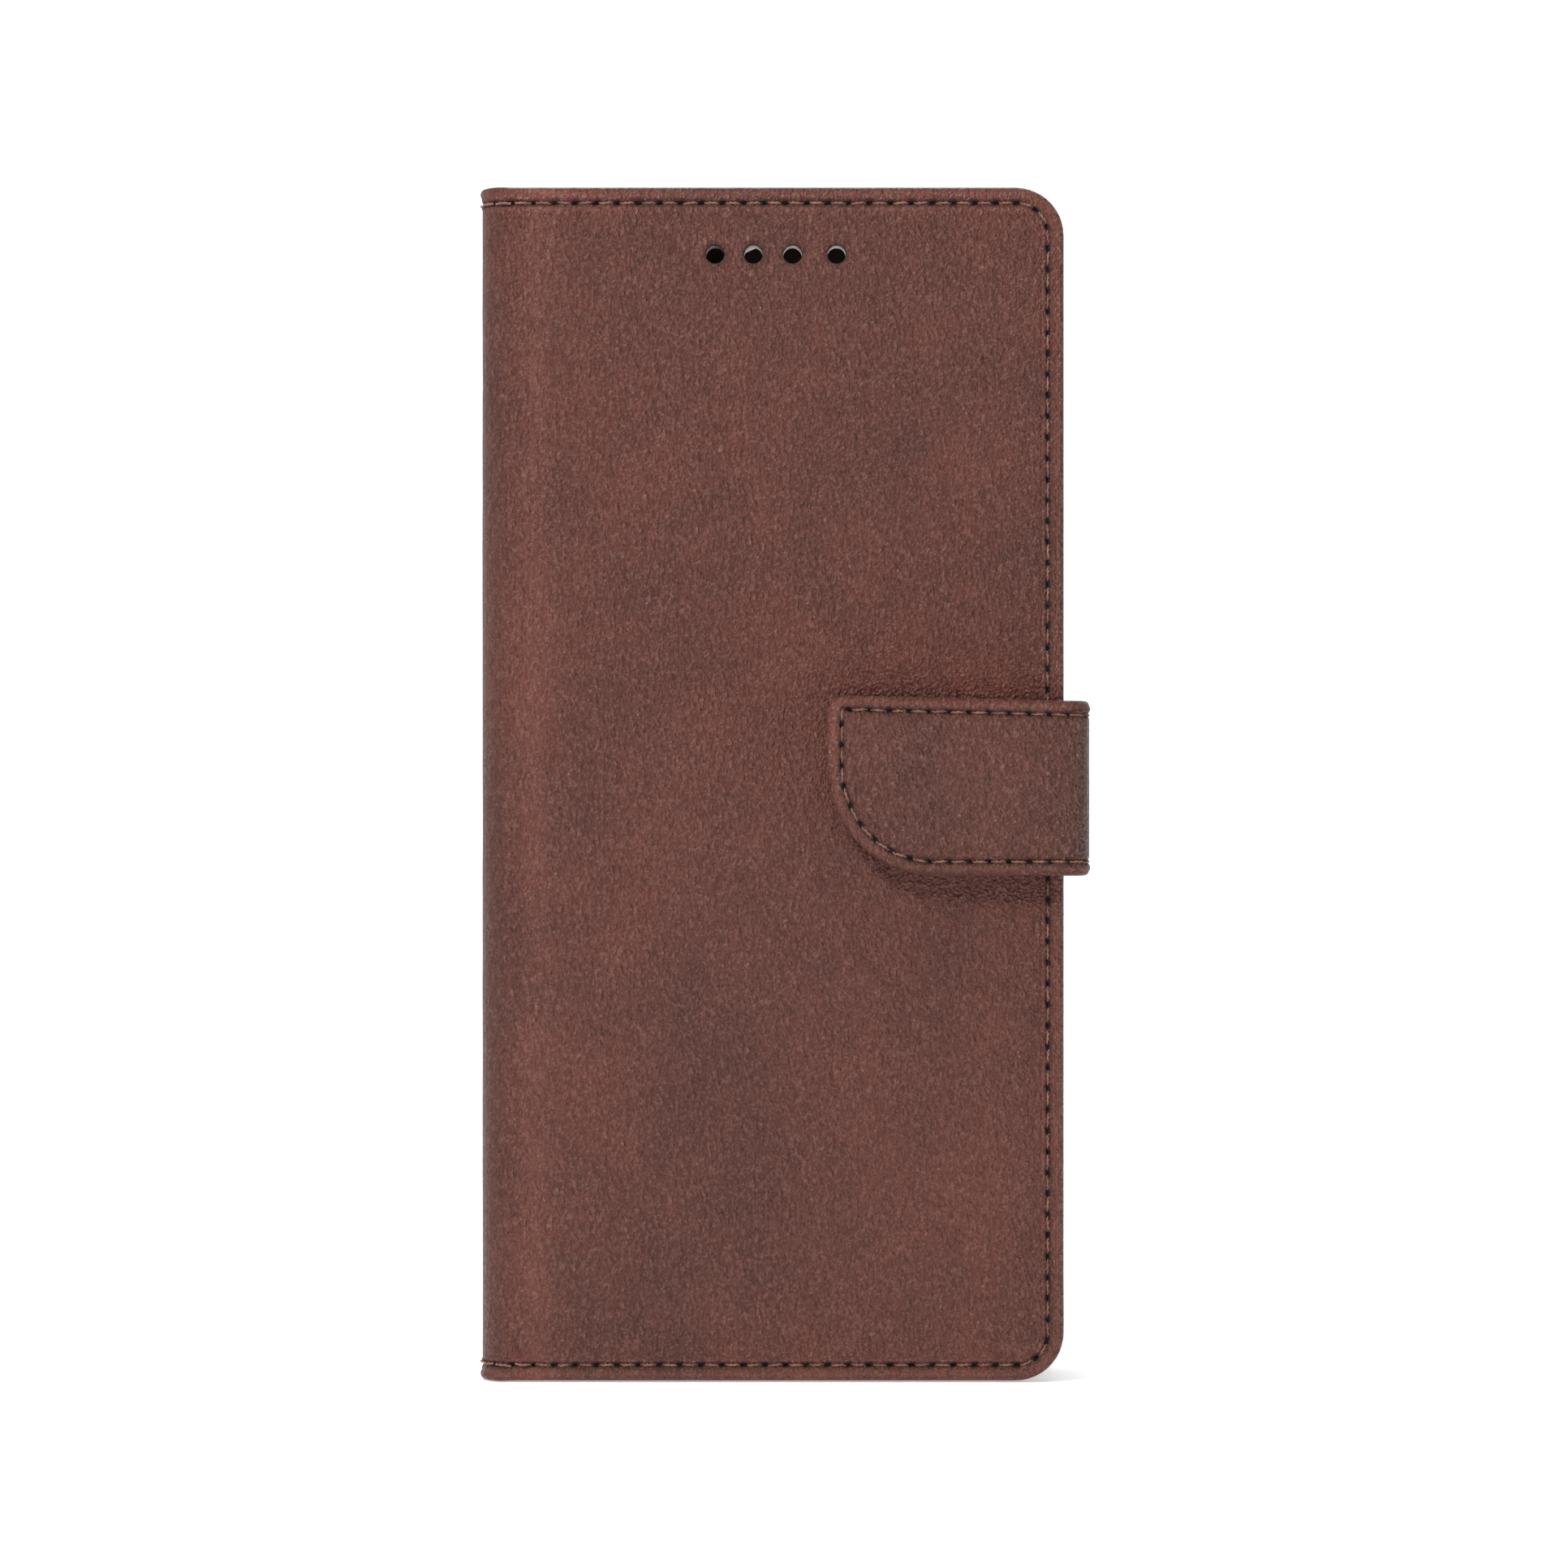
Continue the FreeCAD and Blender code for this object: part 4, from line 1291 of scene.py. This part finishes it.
# %% Strap pattern and its wrapping
tab_low, tab_high = node_box("strap_anchor_tab")
band_low, band_high = node_box("strap_band_leather")
flap_low, _ = node_box("strap_flap_leather")
STRAP_X = tab_high[0]
STRAP_BEND = STRAP_X - FREE_EDGE
STRAP_BACK_Y = tab_high[1]
STRAP_FRONT_Y = flap_low[1]
STRAP_THICK = STRAP_X - node_box("strap_band_lining")[0][0]
FLAP_THICK = FRONT_Y - 0.25 - STRAP_FRONT_Y
FLAP_LENGTH = FREE_EDGE - flap_low[0]
STRAP_QUARTER = STRAP_BEND * math.pi / 2
BAND_LENGTH = band_high[1] - band_low[1]
FLAP_START = 2 * STRAP_QUARTER + BAND_LENGTH
TAB_THICK = 1.0
FLAP_RISE = 0.8
TAB_SHOWN = 1.2
strap_z = (tab_low[2], tab_high[2])


def strap_place(v, z, depth):
    """v is 0 at the free edge on the back, and grows over the band to the tip on the front."""
    first = np.clip(v / STRAP_BEND, 0, math.pi / 2)
    band = np.clip(v - STRAP_QUARTER, 0, BAND_LENGTH)
    second = np.clip((v - STRAP_QUARTER - BAND_LENGTH) / STRAP_BEND, 0, math.pi / 2)
    flap = np.maximum(v - 2 * STRAP_QUARTER - BAND_LENGTH, 0)
    reach = STRAP_BEND - depth
    on_first = v < STRAP_QUARTER + BAND_LENGTH / 2
    x_first = FREE_EDGE + np.minimum(v, 0) + reach * np.sin(first)
    y_first = STRAP_BACK_Y - STRAP_BEND + reach * np.cos(first) - band
    x_second = FREE_EDGE + reach * np.cos(second) - flap
    y_second = STRAP_FRONT_Y + STRAP_BEND - reach * np.sin(second) + BAND_LENGTH - band
    x = np.where(on_first, x_first, x_second)
    y = np.where(on_first, y_first, y_second)
    slope = FLAP_RISE * np.clip(flap / FLAP_LENGTH, 0, 1) * ease(z, strap_z[0] + 3, strap_z[1] - 3)
    return np.stack([x, y, z + slope], -1) * MM


def strap_thickness(v, z):
    on_band = ease(v, -0.6, 0.6)
    on_flap = ease(v, FLAP_START - 1.5, FLAP_START + 2)
    return TAB_THICK + (STRAP_THICK - TAB_THICK) * on_band + (FLAP_THICK - STRAP_THICK) * on_flap


# %% Strap relief and meshes
STRAP_STITCH_INSET = 2.0
STRAP_PITCH = 2.8
half_way = STRAP_QUARTER + BAND_LENGTH / 2
tip = FLAP_START + FLAP_LENGTH
root_pattern = Pattern(-half_way, TAB_SHOWN, *strap_z, [0.2, 0.2], pitch=0.8)
flap_pattern = Pattern(half_way, tip, *strap_z, [2.6, 15.0], pitch=0.8)
strap_line = flap_pattern.ring(STRAP_STITCH_INSET, 3)
flap_stitches = walk(strap_line, STRAP_PITCH, 0.5)
flap_holes = walk(strap_line, STRAP_PITCH, 0.0)


def strap_row(side, offset):
    """A straight row from mid-band back to the cover's edge."""
    z = strap_z[1] - STRAP_STITCH_INSET if side > 0 else strap_z[0] + STRAP_STITCH_INSET
    return walk(np.array([[-half_way, z], [-0.5, z]]), STRAP_PITCH, offset)


def both_rows(offset):
    top, bottom = strap_row(1, offset), strap_row(-1, offset)
    return np.concatenate([top[0], bottom[0]]), np.concatenate([top[1], bottom[1]])


root_holes, root_stitches = both_rows(0.0), both_rows(0.5)


# (place along the strap, width, depth) of the folds where the strap leaves the cover
ROOT_CREASES = ((-1.1, 0.22, 0.09), (-2.0, 0.3, 0.07), (-3.1, 0.25, 0.05), (-0.5, 0.2, 0.07))


def strap_relief(pattern, holes, creased):
    def relief(u, z):
        inset = pattern.inset(u, z)
        off = inset - STRAP_STITCH_INSET
        pit = pit_relief(u, z, holes)
        shown = ease(-u, -0.4, 0.8) if creased else 1.0
        groove = bell(off, 0.42) * shown
        bead = bell(inset - 0.95, 0.7)
        height = 0.16 * bead - 0.24 * groove - PIT_DEPTH * 0.8 * pit + 0.035 * wander(u, z, 8, 6.6)
        marks = {"pit": pit, "pressed": groove * (1 - pit), "raised": 0.8 * bead * (1 - groove)}
        if creased:
            height = height - 0.05 * bell(off, 0.5)
            for middle, width, depth in ROOT_CREASES:
                line = bell(u - middle - 0.45 * wander(u, z, 5.0, middle), width)
                height = height - depth * line
                # The creases are also painted darker, as painted shade.
                add_mark(marks, "pressed", 3.0 * depth * line)
            add_mark(marks, "raised", 0.5 * bell(u + 1.6, 1.0))
        return height, marks

    return relief


STRAP_BORDER = (
    [(3.6, 0, 1), (3.0, 0, 1)]
    + [(inset, 0, 3) for inset in (2.6, 2.4, 2.2, 2.0, 1.8, 1.6, 1.4)]
    + [(1.05, 0, 1), (0.7, 0.02, 1), (0.42, 0.07, 1), (0.2, 0.17, 1), (0.05, 0.32, 1), (0.0, 0.5, 1)]
    + [(0.0, 0.75, 1), (0.15, 0.93, 1), (0.5, 1, 1), (3.6, 1, 1)]
)


def root_place(u, z, depth):
    return strap_place(-u, z, depth)


strap_root = build_slab(
    "strap_root_hide",
    root_place,
    root_pattern,
    lambda u, z: strap_thickness(-u, z),
    STRAP_BORDER,
    strap_relief(root_pattern, root_holes, True),
    fine=[dense(np.arange(-4.4, 0.6, 0.35), np.arange(strap_z[0] + 3.7, strap_z[1] - 3.7, 0.5))],
)
strap_flap = build_slab(
    "strap_flap_hide",
    strap_place,
    flap_pattern,
    strap_thickness,
    STRAP_BORDER,
    strap_relief(flap_pattern, flap_holes, False),
)
root_row = sew("strap_root_stitches", root_place, root_stitches, 2.25, front_thread, sink=0.1, seed=21)
on_flap = flap_stitches[0][:, 0] > FLAP_START + 0.5
flat, bent = part_of(flap_stitches, on_flap), part_of(flap_stitches, ~on_flap)
flap_row = sew("strap_flap_stitches", strap_place, flat, 2.25, front_thread, seed=22)
band_row = sew("strap_bend_stitches", strap_place, bent, 2.25, front_thread, seed=23)
for piece in (strap_root, strap_flap):
    piece.data.materials.append(strap_leather)
    piece.data.materials.append(lining_leather)
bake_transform(strap_root)
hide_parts("strap_anchor_tab", "strap_band_leather", "strap_band_lining")
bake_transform(root_row)
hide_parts("strap_root_thread", "strap_band_thread")
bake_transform(strap_flap)
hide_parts("strap_flap_leather", "strap_flap_core", "strap_flap_lining")
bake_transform(band_row)
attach(flap_row, "strap_flap")
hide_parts("strap_flap_thread")

# %% [markdown]
# ## Moulded shell and hidden layers
# The shell is the engineering model's own shape, because its lip, ring and openings are already
# right. It is soft brown plastic with a satin mould finish. The boards, glue, magnet and plate
# are inside the leather and show only when something is open, but they still get the finish of
# grey board, clear glue and zinc-plated steel.

# %% Shell, board, glue and steel finishes


def plain_finish(name, dark, light, rough, depth, size, metallic=0.0):
    """A mottled moulded or rolled surface. size is its grit and depth how deep that looks."""
    kit = Finish(name)
    mottle = kit.noise(size * 6, 3, 0.55)
    grit = kit.noise(size, 2, 0.6)
    tone = kit.step(mottle * 0.7 + grit * 0.5, 0.35, 0.8)
    kit.set(
        Base_Color=kit.mix(tone, dark, light),
        Roughness=rough + 0.12 * grit,
        Metallic=metallic,
        Normal=kit.bump(grit + mottle * 0.5, depth, 0.7),
    )
    return kit.material


shell = plain_finish("soft_shell", (0.040, 0.0120, 0.0070), (0.060, 0.0185, 0.0110), 0.34, 0.012, 0.25)
board = plain_finish("grey_board", (0.16, 0.145, 0.12), (0.30, 0.28, 0.24), 0.82, 0.05, 0.5)
glue = plain_finish("clear_glue", (0.22, 0.16, 0.09), (0.33, 0.26, 0.16), 0.35, 0.03, 0.8)
zinc = plain_finish("zinc_plate", (0.42, 0.43, 0.44), (0.60, 0.61, 0.62), 0.28, 0.01, 0.3, metallic=1.0)
SHOWN_NODES = {
    "phone_shell": shell,
    "back_board_strap_side": board,
    "back_board_spine_side": board,
    "spine_board": board,
    "front_board": board,
    "shell_adhesive": glue,
    "strap_magnet": zinc,
    "keeper_plate": zinc,
}
for obj in bpy.data.objects:
    finish = SHOWN_NODES.get(obj.get("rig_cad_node"))
    if finish:
        obj.data.materials.clear()
        obj.data.materials.append(finish)

# %% [markdown]
# ## Floor, light and camera
# The case stands on a white sweep, a floor that turns up into a backdrop, so that no horizon
# shows behind it. A plane and a wall would show their corner. The paper glows a little, because
# enough light to make it white from outside would also wash out the dark leather.

# %% White sweep
WIDTH, DEPTH, RISE, SWEEP = 3.0, 1.1, 2.2, 0.5
FLOOR_FRONT = -1.6
FLOOR_Z = -0.0002
TURN_STEPS = 12
profile = [(FLOOR_FRONT, FLOOR_Z), (DEPTH - SWEEP, FLOOR_Z)]
for i in range(1, TURN_STEPS + 1):
    turn = math.pi / 2 * i / TURN_STEPS
    profile.append((DEPTH - SWEEP + SWEEP * math.sin(turn), FLOOR_Z + SWEEP * (1 - math.cos(turn))))
profile.append((DEPTH, RISE))
points = [(side * WIDTH / 2, y, z) for side in (-1, 1) for y, z in profile]
count = len(profile)
mesh = bpy.data.meshes.new("white_sweep")
mesh.from_pydata(points, [], [(i, count + i, count + i + 1, i + 1) for i in range(count - 1)])
mesh.polygons.foreach_set("use_smooth", [True] * len(mesh.polygons))
sweep = bpy.data.objects.new("white_sweep", mesh)
bpy.context.scene.collection.objects.link(sweep)
kit = Finish("white_paper")
tooth = kit.noise(1.4, 2, 0.6)
kit.set(
    Base_Color=kit.mix(tooth, (0.86, 0.86, 0.86), (0.92, 0.92, 0.92)),
    Roughness=0.75 + 0.1 * tooth,
    Normal=kit.bump(tooth, 0.02, 0.3),
    Emission_Color=(1.0, 1.0, 1.0),
    Emission_Strength=0.45,
)
mesh.materials.append(kit.material)
bpy.context.scene.view_settings.view_transform = "Standard"

# %% [markdown]
# A case lying on a table shows dark sound holes, because nothing behind them is lit. This one stands, so a
# small dark card hangs on the sweep, in line with the camera and the holes, as a painted shade that stands in
# for that unlit space. It is part of the stage, not of the case.

# %% Dark card behind the holes
CARD_Y = DEPTH - 0.12
CARD_Z = (0.260, 0.294)
CARD_X = (-0.034, 0.034)
card_points = [(x, CARD_Y, z) for z in CARD_Z for x in CARD_X]
mesh = bpy.data.meshes.new("dark_card")
mesh.from_pydata(card_points, [], [(0, 1, 3, 2)])
dark_card = bpy.data.objects.new("dark_card", mesh)
bpy.context.scene.collection.objects.link(dark_card)
kit = Finish("shade_card_felt")
nap = kit.noise(0.8, 3, 0.6)
kit.set(
    Base_Color=kit.mix(nap, (0.002, 0.0015, 0.0012), (0.006, 0.0045, 0.0035)),
    Roughness=0.9,
    Specular_IOR_Level=0.0,
    Normal=kit.bump(nap, 0.1, 0.5),
)
mesh.materials.append(kit.material)

# %% [markdown]
# Five soft lights do the rest. The key is small, warm and high on the left, so that grain, beads
# and grooves cast small shadows. A tall one beside the camera gives the sheen, a weak one fills
# the right, one lights the top edge and the last lights the back. Large lights alone would
# flatten the leather.

# %% Lights


def soft_light(name, place, target, size, power, tint=(1, 1, 1)):
    lamp = bpy.data.lights.new(name, "AREA")
    lamp.shape = "RECTANGLE"
    lamp.size, lamp.size_y = size
    lamp.energy = power
    lamp.color = tint
    holder = bpy.data.objects.new(name, lamp)
    holder.location = place
    holder.rotation_euler = (Vector(target) - Vector(place)).to_track_quat("-Z", "Y").to_euler()
    bpy.context.scene.collection.objects.link(holder)
    return holder


middle = (0, 0, HEIGHT / 2 * MM)
soft_light("key_light", (-0.42, -0.45, 0.90), middle, (0.22, 0.18), 14, tint=(1.0, 0.95, 0.88))
soft_light("sheen_light", (-0.34, -0.85, 0.22), middle, (0.16, 0.7), 1.4)
soft_light("fill_light", (0.8, -0.8, 0.15), middle, (0.5, 0.7), 0.6)
soft_light("top_light", (0.0, 0.0, 1.1), middle, (0.8, 0.5), 4.4)
soft_light("rear_light", (0.0, 0.95, 0.8), (0, 0, 0.1), (0.8, 0.6), 3.2)
world = bpy.data.worlds.new("studio")
world.use_nodes = True
background = world.node_tree.nodes["Background"]
background.inputs[0].default_value = (1, 1, 1, 1)
background.inputs[1].default_value = 0.12
bpy.context.scene.world = world

# %% Camera
lens = bpy.data.cameras.new("camera")
lens.lens = 100
lens.sensor_width = 36
lens.clip_start = 0.01
camera = bpy.data.objects.new("camera", lens)
camera.location = (0, -0.62, HEIGHT / 2 * MM)
camera.rotation_euler = (math.pi / 2, 0, 0)
bpy.context.scene.collection.objects.link(camera)
bpy.context.scene.camera = camera
